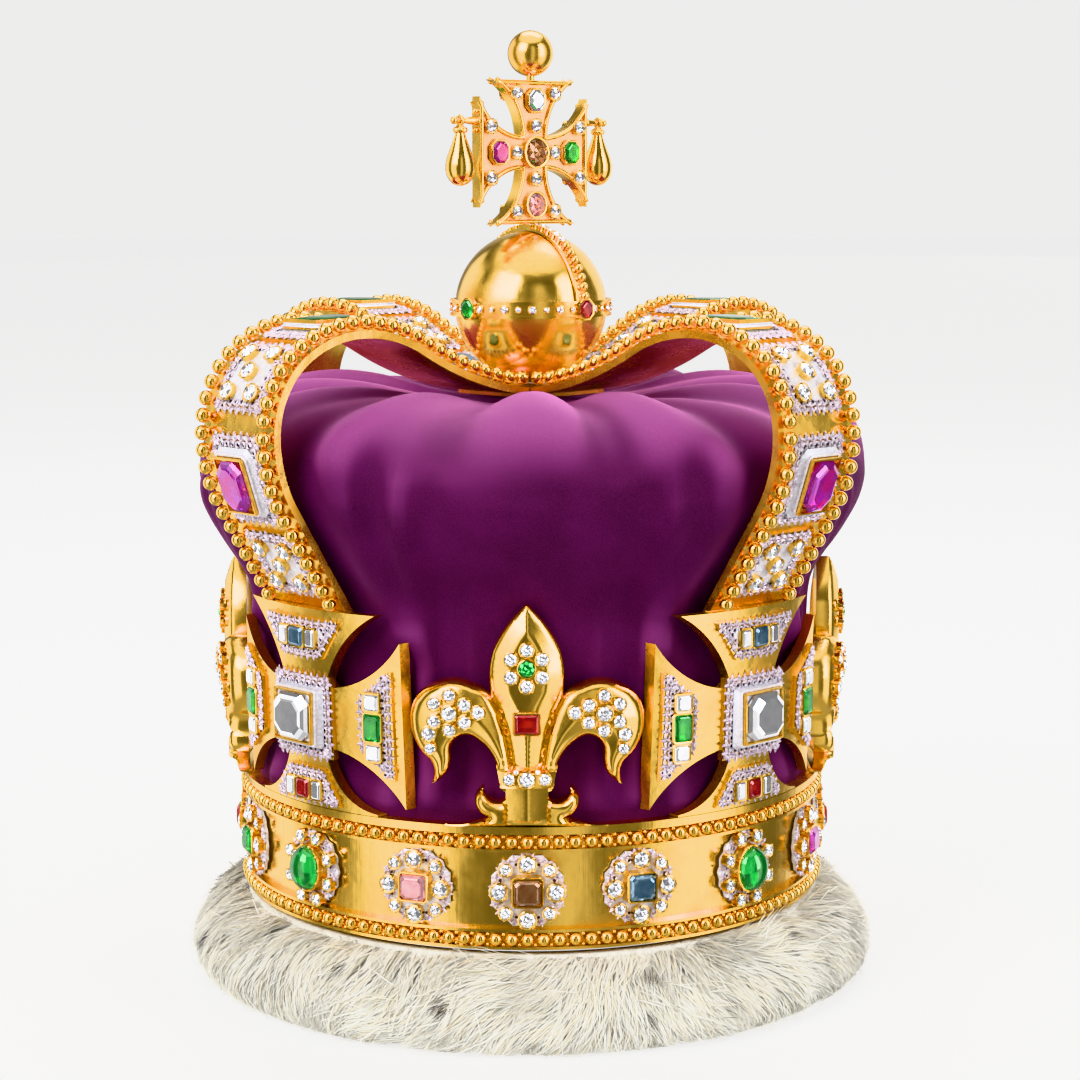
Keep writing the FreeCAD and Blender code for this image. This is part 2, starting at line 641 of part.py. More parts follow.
PETAL_FOOT = (0.0, 96.4)
PETAL_ARCS = [
    (None, (5.5, 96.4)),
    ((6.7, 107.0), (8.8, 118.0)),
    ((10.0, 125.4), (8.7, 132.0)),
    ((5.5, 138.3), (0.0, 144.6)),
]
LEAF_START = (11.2, 100.6)
LEAF_ARCS = [
    ((15.2, 105.1), (20.0, 106.2)),
    ((24.8, 104.4), (26.8, 99.0)),
    ((28.0, 94.8), (29.7, 92.6)),
    (None, (30.0, 96.6)),
    ((34.5, 102.2), (35.8, 107.8)),
    ((33.9, 114.6), (29.4, 118.5)),
    ((24.2, 120.2), (18.4, 118.8)),
    ((14.4, 116.6), (11.4, 113.4)),
    (None, LEAF_START),
]


def fleurs():
    """A thick curved plate with the petal and the two leaves raised, and a collet for the red stone."""
    base = "fleur_back + fleur_plate"
    low, high = "strip_top", "plate_tip + fleur_above"
    plate_wall = ring("fleur_wall", "fleur_back", base, low, high)
    plate = combined("Common", "fleur_plate_cut", front_prism("fleur_outline", [fleur_outline()]), plate_wall)
    petal_wall = ring("petal_wall", f"{base} - {PANEL_ROOT}", f"{base} + petal_raise", low, high)
    leaf_wall = ring("leaf_wall", f"{base} - {PANEL_ROOT}", f"{base} + leaf_raise", low, high)
    petal = mirrored_loop(arc_chain(PETAL_FOOT, PETAL_ARCS))
    leaf = arc_chain(LEAF_START, LEAF_ARCS)
    other_leaf = [(kind, *[(-x, y) for x, y in reversed(points)]) for kind, *points in reversed(leaf)]
    seat = facing(0, size(f"{base} + petal_raise - solder"), size("fleur_stone_height"))
    metal = fused("fleur_metal", [
        plate,
        combined("Common", "petal", front_prism("petal_outline", [petal]), petal_wall),
        combined("Common", "leaves", front_prism("leaf_outlines", [leaf, other_leaf]), leaf_wall),
        collet("fleur_collet", seat, "fleur_stone_width", "fleur_stone_tall", "fleur_seat"),
    ])
    stone_place = lifted(seat, z=size("fleur_seat + joint_gap"))
    stone = step_stone("fleur_gem", stone_place, "fleur_stone_width", "fleur_stone_tall", "fleur_stone_rise",
                       corner=0.05)
    for side, azimuth in QUARTERS:
        turned_copy(f"fleur_{side}", metal, azimuth)
        turned_copy(f"fleur_stone_{side}", stone, azimuth)


# The arches. One half from its foot behind a cross to the crossing, as a walk of straight and bent stretches
ARCH_FOOT = (100.0, 138.4)  # radius and height
ARCH_FOOT_SLOPE = 57.7
ARCH_WALK = [  # straight length or bend radius, and degrees turned
    ("rise", 45.4, 0.0),
    ("side", 45.0, 32.3),
    ("shoulder", 30.0, 58.0),
    ("top", 43.0, 32.0),
    ("fall", 55.0, 29.0),
    ("dip", 139.6, -21.2),
]
ARCH_PANELS = [  # from and to, as lengths along the arch from its foot
    ("lower five stones", 11.0, 36.5),
    ("octagonal stone", 40.5, 71.5),
    ("upper five stones", 77.5, 103.5),
    ("shoulder stone", 107.0, 142.0),
    ("inner five stones", 146.0, 172.0),
    ("last stone", 176.0, 200.0),
]
ARCH_STONES = [  # name, length along the arch, width, size along the arch, height of its seat, rise
    ("arch", 56.0, "arch_stone_width", "arch_stone_long", "3.4", "3.4"),
    ("shoulder", 124.5, "shoulder_stone_width", "shoulder_stone_long", "2.0", "1.8"),
]
ARCH_PANEL_ROOT = 0.6  # how far a raised panel runs into the arch
ARCH_COLLET_ROOT = 0.8  # how far a collet runs into its panel
SHORTEST_STRETCH = 0.01


def arch_spot(length, off=0.0):
    """(radius, height, slope) of the point this far along the arch, moved outward from its middle by off."""
    radius, height = ARCH_FOOT
    slope = ARCH_FOOT_SLOPE
    left = length
    for _, reach, turn in ARCH_WALK:
        whole = reach * math.radians(abs(turn)) if turn else reach
        share = min(1.0, left / whole)
        if turn == 0:
            radius += reach * share * math.cos(math.radians(slope))
            height += reach * share * math.sin(math.radians(slope))
        else:
            bend = reach if turn > 0 else -reach
            start, stop = math.radians(slope), math.radians(slope + turn * share)
            radius += bend * (math.sin(stop) - math.sin(start))
            height -= bend * (math.cos(stop) - math.cos(start))
            slope += turn * share
        left -= whole
        if left <= 0:
            break
    lean = math.radians(slope)
    return (radius + off * math.sin(lean), height - off * math.cos(lean), slope)


def arch_length():
    return sum(reach * math.radians(abs(turn)) if turn else reach for _, reach, turn in ARCH_WALK)


def arch_band(first, last, low, high):
    """The side view of a stretch of the arch between two offsets, as a closed loop of lines and arcs."""
    breaks, total = [first], 0.0
    for _, reach, turn in ARCH_WALK:
        total += reach * math.radians(abs(turn)) if turn else reach
        if first + SHORTEST_STRETCH < total < last - SHORTEST_STRETCH:
            breaks.append(total)
    breaks.append(last)
    outward = []
    inward = []
    for a, b in zip(breaks, breaks[1:]):
        straight = b <= ARCH_WALK[0][1] + SHORTEST_STRETCH
        for edges, off in ((outward, high), (inward, low)):
            ends = [arch_spot(at, off)[:2] for at in (a, (a + b) / 2, b)]
            edges.append(("line", ends[0], ends[2]) if straight else ("arc", *ends))
    back = [(kind, *reversed(points)) for kind, *points in reversed(inward)]
    return outward + [("line", outward[-1][-1], back[0][1])] + back + [("line", back[-1][-1], outward[0][1])]


def arch_place(length, off):
    """A place on the arch, in the half that points to +X."""
    radius, height, slope = arch_spot(length, off)
    return facing(90, radius, height, lean=slope)


def arches():
    """A bent plate with raised panels and collets for two stones. The other halves are turned copies."""
    half = size("arch_plate") / 2
    body = doc.addObject("PartDesign::Body", "arch_half")
    padded(body, "arch_half_plate", [arch_band(0.0, arch_length(), -half, half)], "arch_width")
    for n, (_, first, last) in enumerate(ARCH_PANELS):
        side_view = arch_band(first, last, half - ARCH_PANEL_ROOT, half + size("arch_panel_raise"))
        padded(body, f"arch_panel_{n}", [side_view], "arch_panel_width")
    face = half + size("arch_panel_raise") - ARCH_COLLET_ROOT
    pieces = [body]
    stones = []
    for name, at, width, along, base, rise in ARCH_STONES:
        seat = arch_place(at, face)
        pieces.append(collet(f"{name}_collet", seat, width, along, base))
        stone_place = lifted(seat, z=size(base) + size("joint_gap"))
        stones.append(step_stone(f"{name}_gem", stone_place, width, along, rise))
    # The foot is cut back to stand behind the cross, clear of its curved back
    behind = ring("foot_room", "foot_room_inner", "plate_foot_radius + arch_width", "foot_room_low",
                  "foot_room_top")
    metal = combined("Cut", "arch_metal_cut", fused("arch_metal", pieces), behind)
    for corner, azimuth in CORNERS:
        turned_copy(f"arch_{corner}", metal, azimuth - 90)
        turned_copy(f"arch_stone_{corner}", stones[0], azimuth - 90)
        turned_copy(f"shoulder_stone_{corner}", stones[1], azimuth - 90)


def crossing():
    """The flat plate where the four half arches meet, under the orb."""
    plate = primitive("Box", "arch_crossing", Length="arch_width", Width="arch_width",
                      Height="crossing_top - crossing_low")
    plate.Placement = Placement(Vector(), Rotation(Vector(0, 0, 1), 45)).multiply(
        Placement(Vector(-size("arch_width") / 2, -size("arch_width") / 2, size("crossing_low")), Rotation()))
    named("arch_crossing", plate)


BEAD_ROW_START = 9.7  # from the arch's foot to the first bead, along the arch
ROUTE_STEPS = 800
CORNER_STEPS = 20


def arch_bead_route():
    """The front quarter's bead row: up one arch, round the corner before the orb, down the next."""
    off = size("arch_plate") / 2 + size("arch_bead + arch_bead_lift")
    row, bend = size("arch_row"), size("arch_corner")
    first, last = BEAD_ROW_START, arch_length()
    rise = []
    for n in range(ROUTE_STEPS + 1):
        at = first + (last - first) * n / ROUTE_STEPS
        radius, height, _ = arch_spot(at, off)
        if radius < row + bend:
            break
        turn = math.radians(45)
        # The right-hand arch, whose row lies on the side towards the front fleur
        rise.append(Vector(radius * math.sin(turn) - row * math.cos(turn),
                           -radius * math.cos(turn) - row * math.sin(turn), height))
    top = rise[-1].z
    middle = Vector(0, -(row + bend) * math.sqrt(2), top)
    corner = []
    for n in range(1, CORNER_STEPS):
        turn = math.radians(45 - 90 * n / CORNER_STEPS)
        corner.append(middle + Vector(bend * math.sin(turn), bend * math.cos(turn), 0))
    mirrored = [Vector(-spot.x, spot.y, spot.z) for spot in reversed(rise)]
    return rise + corner + mirrored


def spaced(route, pitch):
    """Points about a pitch apart along a route, evenly spread between its ends."""
    lengths = [0.0]
    for a, b in zip(route, route[1:]):
        lengths.append(lengths[-1] + (b - a).Length)
    count = round(lengths[-1] / pitch)
    spots, n = [], 0
    for k in range(count + 1):
        target = lengths[-1] * k / count
        while n < len(route) - 2 and lengths[n + 1] < target:
            n += 1
        share = (target - lengths[n]) / (lengths[n + 1] - lengths[n])
        spots.append(route[n] + (route[n + 1] - route[n]) * share)
    return spots


def bead_frame(spot, along):
    """A bead's own place. The wire leaves it along its +Y and -Y, clear of the sphere's poles and seam."""
    side = -1 if spot.x < 0 else 1
    across = Vector(side * math.sqrt(0.5), math.sqrt(0.5), 0)
    along = Vector(along).normalize()
    pole = (across - along * across.dot(along)).normalize()
    seam = along.cross(pole)
    turn = Matrix(seam.x, along.x, pole.x, 0, seam.y, along.y, pole.y, 0, seam.z, along.z, pole.z, 0)
    return Placement(spot, Placement(turn).Rotation)


def arch_beads():
    """Beads joined along their wire. Each is a sphere, with a short straight wire to the next."""
    spots = spaced(arch_bead_route(), size("arch_bead_pitch"))
    last = len(spots) - 1
    pieces = []
    for n, spot in enumerate(spots):
        along = spots[min(n + 1, last)] - spots[max(n - 1, 0)]
        pieces.append(primitive("Sphere", f"arch_bead_{n:02d}", bead_frame(spot, along), Radius="arch_bead"))
        if n < last:
            step = spots[n + 1] - spot
            along_wire = Placement(spot, Rotation(Vector(0, 0, 1), step))
            link = primitive("Cylinder", f"arch_link_{n:02d}", along_wire, Radius="arch_bead_wire")
            link.Height = step.Length
            pieces.append(link)
    row = fused("arch_bead_row", pieces)
    for side, azimuth in QUARTERS:
        turned_copy(f"arch_beads_{side}", row, azimuth)


# The velvet cap. Radii between the arches and under them at each height, from the circlet to the top's middle
CAP_ROWS = [
    # height, radius between arches, radius under an arch
    (33.0, 99.6, 99.6),
    (72.0, 99.6, 99.6),
    (80.0, 100.4, 99.8),
    (104.0, 101.2, 99.6),
    (126.0, 102.0, 98.6),
    (138.0, 102.2, 97.2),
    (143.0, 102.2, 98.4),
    (148.6, 102.5, 101.2),
    (154.0, 110.6, 105.4),
    (160.0, 115.6, 109.4),
    (167.0, 119.4, 113.8),
    (174.0, 121.8, 118.0),
    (181.0, 122.6, 120.8),
    (189.0, 121.2, 121.6),
    (196.0, 116.4, 118.6),
    (202.0, 108.4, 111.4),
    (206.6, 96.0, 99.0),
    (208.8, 80.0, 82.0),
    (208.8, 61.0, 62.0),
    (206.6, 40.0, 40.0),
    (205.6, 20.0, 20.0),
]
CAP_MIDDLE = 205.4
CAP_TURNS = 48


def cap_skin(depth):
    """Rings of points on the cap, moved inward by depth, and the point at the middle of its top."""
    rings = []
    for n, (height, between, under) in enumerate(CAP_ROWS):
        before, after = CAP_ROWS[max(0, n - 1)], CAP_ROWS[min(len(CAP_ROWS) - 1, n + 1)]
        points = []
        for k in range(CAP_TURNS):
            turn = 2 * math.pi * k / CAP_TURNS
            free = math.cos(2 * turn) ** 2
            radius, low, high = [u + (b - u) * free for _, b, u in ((height, between, under), before, after)]
            along = Vector(high - low, after[0] - before[0], 0).normalize()
            # Only the part inside the circlet stays plain at its rim
            inward = depth * (0 if n == 0 else along.x)
            reach = radius - depth * (along.y if n else 1)
            points.append(Vector(reach * math.sin(turn), -reach * math.cos(turn), height + inward))
        rings.append(points)
    return rings, Vector(0, 0, CAP_MIDDLE - depth)


def velvet_cap():
    """A closed shell of flat triangles: an outer and an inner skin joined at the rim."""
    faces = []

    def facet(a, b, c):
        faces.append(Part.Face(Part.makePolygon([a, b, c, a])))

    outer, outer_top = cap_skin(0.0)
    inner, inner_top = cap_skin(size("cap_wall"))
    for rings, top in ((outer, outer_top), (inner, inner_top)):
        for low, high in zip(rings, rings[1:]):
            for k in range(CAP_TURNS):
                after = (k + 1) % CAP_TURNS
                facet(low[k], low[after], high[after])
                facet(low[k], high[after], high[k])
        for k in range(CAP_TURNS):
            facet(rings[-1][k], rings[-1][(k + 1) % CAP_TURNS], top)
    for k in range(CAP_TURNS):
        after = (k + 1) % CAP_TURNS
        facet(outer[0][k], outer[0][after], inner[0][after])
        facet(outer[0][k], inner[0][after], inner[0][k])
    shell = Part.makeShell(faces)
    shell.sewShape()
    solid = Part.makeSolid(shell)
    if solid.Volume < 0:
        solid.reverse()
    cap = doc.addObject("Part::Feature", "velvet_cap")
    cap.Shape = solid
    named("velvet_cap", cap)


# The orb, its belt and hoop, the top cross with its ball and arms, and the drops
def turned_assembly(label, thing):
    """The orb and all on it are turned together about the crown's axis."""
    return turned_copy(label, thing, size("orb_turn"))


def orb():
    ball = primitive("Sphere", "orb", Radius="orb_radius")
    ball.Placement.Base.z = size("orb_height")
    ball.setExpression("Placement.Base.z", spelled("orb_height"))
    named("orb", ball)


def orb_band():
    """A belt with two rims, and a half hoop over the top that carries the cross's seat."""
    inside = "orb_radius + joint_gap"
    low, high = "orb_height - belt_half", "orb_height + belt_half"
    pieces = [
        ring("belt", inside, "belt_outer", low, high),
        ring("belt_low_rim", inside, "belt_rim", low, f"{low} + belt_rim_height"),
        ring("belt_high_rim", inside, "belt_rim", f"{high} - belt_rim_height", high),
    ]
    middle = Placement(Vector(0, 0, size("orb_height")), Rotation())
    skin = combined("Cut", "hoop_skin", primitive("Sphere", "hoop_outer", middle, Radius="belt_outer"),
                    primitive("Sphere", "hoop_inner", middle, Radius=inside))
    slab = box("hoop_slab", middle, "hoop_width", "belt_rim + belt_rim + 2", "belt_rim + 2")
    pieces.append(combined("Common", "hoop", skin, slab))
    seat = lifted(middle, z=size("belt_outer - seat_sink"))
    pieces.append(box("cross_seat", seat, "hoop_width", "hoop_width",
                      "top_cross_foot - orb_height - belt_outer + seat_sink - joint_gap"))
    turned_assembly("orb_band", fused("orb_band_metal", pieces))


ARM_HOLLOW = (2.3, 9.0)  # a point on the curved side of an arm, across and up from its neck


def top_cross_outline():
    """Four flared arms about the middle of the top cross, anticlockwise."""
    half, flare, neck = size("top_cross_half"), size("top_cross_flare"), size("top_cross_neck")
    middle = size("top_cross_foot") + half
    edge = [("line", (-flare, half), (flare, half))]
    # The side of the upper arm on its right, from its tip to the notch, then the arm beside it
    through = (neck + ARM_HOLLOW[0], neck + ARM_HOLLOW[1])
    edge.append(("arc", (flare, half), through, (neck, neck)))
    edge.append(("arc", (neck, neck), (through[1], through[0]), (half, flare)))
    loop = []
    for quarter in range(4):
        turn = -math.pi / 2 * quarter
        for kind, *points in edge:
            loop.append((kind, *[(x * math.cos(turn) - y * math.sin(turn),
                                  x * math.sin(turn) + y * math.cos(turn) + middle) for x, y in points]))
    return loop


def cross_stones():
    """Where the top cross carries its collets: across and up from its middle, and the collet's radius."""
    rows = [(0.0, 0.0, 4.6), (0.0, -18.6, 4.0), (0.0, 18.4, 4.1), (-16.8, 0.0, 3.6), (16.8, 0.0, 3.6)]
    rows += [(x, y, 2.2) for x, y in ((0, 9.0), (0, -9.0), (8.7, 0), (-8.7, 0))]
    rows += [(x * a, y * b, 2.2) for x, y in ((8.7, 21.2), (21.2, 8.7)) for a in (1, -1) for b in (1, -1)]
    return rows


RECESS_REACH = 10  # out of the plate, for the cut of its sunk face
STEM_ROOT = 0.5  # how far the ball's stem and the drop arms run into the cross
ROOT_BEADS = [(0, 3.2), (0, -3.2), (1.6, 0), (-1.6, 0)]  # across and up from an arm's root


def top_cross():
    """The cross plate with its border, its collets, the ball on its stem and the two arms for the drops."""
    body = doc.addObject("PartDesign::Body", "top_cross_plate_body")
    pad = padded(body, "top_cross_pad", [top_cross_outline()], "top_cross_plate")
    middle = size("top_cross_foot + top_cross_half")
    inner = doc.addObject("Part::Offset2D", "top_cross_inner_edge")
    inner.Source = pad.Profile[0]
    inner.Value = -size("top_cross_border")
    inner.setExpression("Value", "-Sizes.top_cross_border")
    recess = doc.addObject("Part::Extrusion", "top_cross_recess_cut")
    recess.Base, recess.Solid, recess.DirMode, recess.Dir = inner, True, "Custom", Vector(0, -1, 0)
    recess.LengthFwd = RECESS_REACH
    recess.Placement.Base.y = -size("top_cross_plate") / 2 + size("top_cross_recess")
    back = doc.addObject("Part::Extrusion", "top_cross_back_cut")
    back.Base, back.Solid, back.DirMode, back.Dir = inner, True, "Custom", Vector(0, 1, 0)
    back.LengthFwd = RECESS_REACH
    back.Placement.Base.y = size("top_cross_plate") / 2 - size("top_cross_recess")
    plate = combined("Cut", "top_cross_plate_cut", body, fused("top_cross_recesses", [recess, back]))
    pieces = [plate]
    for side, azimuth in (("front", 0), ("back", 180)):
        for n, (x, y, radius) in enumerate(cross_stones()):
            face = facing(azimuth, size("top_cross_plate") / 2 - size("top_collet_sink"), middle)
            place = lifted(face, x, y)
            pieces.append(primitive("Cylinder", f"top_collet_{side}_{n}", place, Radius=radius,
                                    Height="top_collet_height"))
    stem = primitive("Cylinder", "ball_stem", Radius="ball_stem")
    stem.Placement.Base.z = middle + size("top_cross_half") - STEM_ROOT
    stem.Height = size("ball_height") - stem.Placement.Base.z
    ball = primitive("Sphere", "ball", Radius="ball_radius")
    ball.Placement.Base.z = size("ball_height")
    pieces += [stem, ball]
    for side, azimuth in (("right", 90), ("left", -90)):
        root = facing(azimuth, size("top_cross_half") - STEM_ROOT, size("drop_pin_height"))
        reach = size("drop_out - top_cross_half - arm_short")
        arm = primitive("Cone", f"arm_{side}", root, Radius1="arm_root", Radius2="drop_pin", Height=reach)
        pin_root = lifted(root, z=reach - size("solder"))
        pin = primitive("Cylinder", f"arm_pin_{side}", pin_root, Radius="drop_pin", Height="arm_pin_long")
        pin_end = lifted(root, z=reach + size("arm_pin_long"))
        knob = primitive("Sphere", f"arm_knob_{side}", pin_end, Radius="arm_knob")
        pieces += [arm, pin, knob]
        for n, (x, y) in enumerate(ROOT_BEADS):
            spot = lifted(root, x, y, size("root_bead"))
            pieces.append(primitive("Sphere", f"root_bead_{side}_{n}", spot, Radius="root_bead"))
    turned_assembly("top_cross", fused("top_cross_metal", pieces))


# Half the pear's section, from its bottom point up: fractions of the drop's length and belly
PEAR = [(0.0, 0.0), (0.10, 0.58), (0.34, 1.0), (0.62, 0.66), (0.86, 0.34), (0.93, 0.42), (1.0, 0.30)]


def drop_profile():
    """The pear in the XZ plane at the drop's own place, closed along its axis."""
    foot, tall, belly = size("drop_pin_height - drop_eye - drop_long"), size("drop_long"), size("drop_belly")
    spots = [(belly * out, foot + tall * up) for up, out in PEAR]
    return [
        ("arc", spots[0], spots[1], spots[2]),
        ("arc", spots[2], spots[3], spots[4]),
        ("arc", spots[4], spots[5], spots[6]),
        ("line", spots[6], (0.0, spots[6][1])),
        ("line", (0.0, spots[6][1]), spots[0]),
    ]


def drops():
    """A pear with an eye on top, hung on its arm's pin with a running clearance."""
    body = doc.addObject("PartDesign::Body", "pear")
    sketch = outline_sketch(body, "pear_section", [drop_profile()])
    turn = body.newObject("PartDesign::Revolution", "pear_turn")
    turn.Profile = sketch
    turn.ReferenceAxis = (sketch, ["V_Axis"])
    turn.Angle = 360
    eye_place = Placement(Vector(0, 0, size("drop_pin_height")), Rotation(Vector(0, 1, 0), 90))
    eye = primitive("Torus", "drop_eye", eye_place, Radius1="drop_eye", Radius2="drop_eye_wire")
    drop = fused("drop_metal", [body, eye])
    for side, way in (("right", 1), ("left", -1)):
        shifted = turned_copy(f"drop_{side}", drop, size("orb_turn"))
        turn_back = Rotation(Vector(0, 0, 1), size("orb_turn"))
        shifted.Placement = Placement(turn_back.multVec(Vector(way * size("drop_out"), 0, 0)), turn_back)


MAKERS = [fur_band, velvet_cap, circlet, circlet_jewels, crosses, fleurs, arches, crossing, arch_beads, orb,
          orb_band, top_cross, drops]


def make_all():
    for maker in MAKERS:
        maker()
    circlet_beads("circlet_beads_lower", "lower_row")
    circlet_beads("circlet_beads_upper", "upper_row")
    doc.recompute()
    for thing in doc.Objects:
        if "Invalid" in thing.State or "Error" in thing.State:
            raise SystemExit(f"{thing.Label} failed: {thing.State}")
    for node in nodes:
        if node.Shape.isNull() or not node.Shape.isValid():
            raise SystemExit(f"{node.Label} has no valid shape")


def write_all():
    os.makedirs("parts", exist_ok=True)
    for node in nodes:
        node.Shape.exportStep(os.path.join("parts", node.Label + ".step"))
        print(f"{node.Label}: {len(node.Shape.Solids)} solid(s), {node.Shape.Volume / 1000:.2f} cm3")
    print(len(nodes), "sub-parts")


make_all()
write_all()
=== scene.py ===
# %% [markdown]
# # An arched crown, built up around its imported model
# The crown is a gold circlet on a band of white fur, with a velvet cap, four crosses, four fleurs and two
# arches that carry an orb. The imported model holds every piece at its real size. This lesson leaves those
# sizes alone and gives the pieces their finish: cut stones, lace of white silver, round beads, folds in
# the velvet and strands of fur.
#
# Lengths below are in millimetres, as a goldsmith would give them, and are turned into metres when a mesh
# is made.

# %% Load the frame
import math
import random

import bmesh
import bpy
import numpy as np
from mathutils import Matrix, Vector, noise
from mathutils.geometry import delaunay_2d_cdt


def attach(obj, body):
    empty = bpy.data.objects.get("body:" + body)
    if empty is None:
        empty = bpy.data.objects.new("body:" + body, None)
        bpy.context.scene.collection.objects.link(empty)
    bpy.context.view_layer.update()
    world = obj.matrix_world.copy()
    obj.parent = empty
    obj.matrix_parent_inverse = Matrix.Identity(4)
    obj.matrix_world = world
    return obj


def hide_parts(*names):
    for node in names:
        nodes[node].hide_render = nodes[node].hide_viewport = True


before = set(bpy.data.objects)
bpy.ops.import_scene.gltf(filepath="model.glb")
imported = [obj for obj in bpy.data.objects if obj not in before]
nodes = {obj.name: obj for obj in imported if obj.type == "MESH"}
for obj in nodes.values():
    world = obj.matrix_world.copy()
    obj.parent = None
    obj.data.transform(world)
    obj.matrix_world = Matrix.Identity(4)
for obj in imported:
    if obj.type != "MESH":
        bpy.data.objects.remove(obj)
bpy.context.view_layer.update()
MM = 0.001

# %% [markdown]
# ## Meshes from arrays
# Hundreds of stones and beads repeat a few shapes. A shape is kept once, as an array of points and a list
# of faces, and is stamped at many places by multiplying the array with each place's matrix. The stamped
# copies become one mesh, which is much faster than one object for each bead.

# %% Shapes, places and pieces
class Shape:
    """Points in millimetres and faces that index them."""

    def __init__(self, points, faces):
        self.points = np.array(points, float).reshape(-1, 3)
        self.faces = [tuple(face) for face in faces]

    def moved(self, matrix):
        return Shape(self.points @ matrix[:3, :3].T + matrix[:3, 3], self.faces)

    def scaled(self, x, y=None, z=None):
        y = x if y is None else y
        z = x if z is None else z
        return Shape(self.points * (x, y, z), self.faces)


def joined(shapes):
    """One shape out of several."""
    points, faces, start = [], [], 0
    for shape in shapes:
        points.append(shape.points)
        faces += [tuple(i + start for i in face) for face in shape.faces]
        start += len(shape.points)
    return Shape(np.concatenate(points), faces)


def piece(name, shape, material, body="crown", smooth=True, sharp=None):
    """Makes a mesh object of a shape, gives it a material and lets it ride on a body."""
    mesh = bpy.data.meshes.new(name)
    mesh.from_pydata((shape.points * MM).tolist(), [], shape.faces)
    mesh.materials.append(material)
    mesh.polygons.foreach_set("use_smooth", [smooth] * len(mesh.polygons))
    if sharp is not None:
        mesh.set_sharp_from_angle(angle=math.radians(sharp))
    made = bpy.data.objects.new(name, mesh)
    bpy.context.scene.collection.objects.link(made)
    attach(made, body)
    return made


def place(origin, across, up):
    """A matrix with its X axis across, its Y axis up the surface and its Z axis out of it."""
    across = np.array(across, float) / np.linalg.norm(across)
    out = np.cross(across, np.array(up, float))
    out /= np.linalg.norm(out)
    matrix = np.eye(4)
    matrix[:3, 0], matrix[:3, 1], matrix[:3, 2], matrix[:3, 3] = across, np.cross(out, across), out, origin
    return matrix


def facing(azimuth, radius, height, lean=90.0):
    """A place on the crown that faces outward at an azimuth. Azimuth 0 is the front, and 90 is at +X."""
    turn, slope = math.radians(azimuth), math.radians(lean)
    outward = np.array((math.sin(turn), -math.cos(turn), 0.0))
    across = (math.cos(turn), math.sin(turn), 0.0)
    along = outward * math.cos(slope) + np.array((0.0, 0.0, math.sin(slope)))
    return place(outward * radius + (0.0, 0.0, height), across, along)


def shifted(matrix, x=0.0, y=0.0, z=0.0, turn=0.0, scale=1.0):
    """The same place moved along its own axes, then turned about its own Z axis and scaled."""
    c, s = math.cos(math.radians(turn)) * scale, math.sin(math.radians(turn)) * scale
    step = np.array(((c, -s, 0, x), (s, c, 0, y), (0, 0, scale, z), (0, 0, 0, 1.0)))
    return matrix @ step


def about_axis(degrees):
    """A turn about the crown's own axis."""
    return shifted(np.eye(4), turn=degrees)


print("a stamped place:", facing(0, 104.0, 35.0)[:3, 3])

# %% [markdown]
# ## Camera
# The photograph looks slightly down at the front fleur. Two bead rows of the circlet are level circles of
# one radius, so their ellipses gave the camera's distance, height and lens.

# %% Camera
CAMERA_AZIMUTH = 0.8
CAMERA_OUT = 916.4
CAMERA_HEIGHT = 282.2
CAMERA_DOWN = 8.0
CAMERA_YAW = -0.21
CAMERA_ROLL = 0.075
LENS = 84.83

camera_data = bpy.data.cameras.new("camera")
camera_data.lens = LENS
camera_data.sensor_width = 36.0
camera = bpy.data.objects.new("camera", camera_data)
bpy.context.scene.collection.objects.link(camera)
bpy.context.scene.camera = camera
camera.location = Vector(facing(CAMERA_AZIMUTH, CAMERA_OUT, CAMERA_HEIGHT)[:3, 3]) * MM
camera.rotation_euler = (
    math.radians(90 - CAMERA_DOWN), math.radians(CAMERA_ROLL), math.radians(CAMERA_AZIMUTH + CAMERA_YAW))
print("camera at", [round(x, 3) for x in camera.location])

# %% [markdown]
# ## Floor and light
# The crown stands on a plain pale floor under a pale sky, with three large soft lamps. They light the fur
# and the velvet, which have no reflections of their own.

# %% Floor, world and lamps
def node_material(name):
    """A node material, its node tree and its shader."""
    material = bpy.data.materials.new(name)
    material.use_nodes = True
    tree = material.node_tree
    shader = tree.nodes["Principled BSDF"]
    return material, tree, shader


def add_node(tree, kind, **settings):
    """Adds a node and sets its properties by name."""
    node = tree.nodes.new(kind)
    for name, value in settings.items():
        setattr(node, name, value)
    return node


def link(tree, source, target):
    tree.links.new(source, target)


FLOOR_COLOUR = (0.30, 0.30, 0.30, 1.0)
FLOOR_GLOW = 0.78
floor_material, floor_tree, floor_shader = node_material("pale_floor")
floor_shader.inputs["Base Color"].default_value = FLOOR_COLOUR
floor_shader.inputs["Roughness"].default_value = 0.9
floor_shader.inputs["Emission Color"].default_value = (1.0, 1.0, 1.0, 1.0)
floor_shader.inputs["Emission Strength"].default_value = FLOOR_GLOW
FLOOR_HALF = 12.0
floor_mesh = bpy.data.meshes.new("floor")
corners = [(-FLOOR_HALF, -FLOOR_HALF, 0), (FLOOR_HALF, -FLOOR_HALF, 0), (FLOOR_HALF, FLOOR_HALF, 0),
           (-FLOOR_HALF, FLOOR_HALF, 0)]
floor_mesh.from_pydata(corners, [], [(0, 1, 2, 3)])
floor_mesh.materials.append(floor_material)
floor = bpy.data.objects.new("floor", floor_mesh)
bpy.context.scene.collection.objects.link(floor)

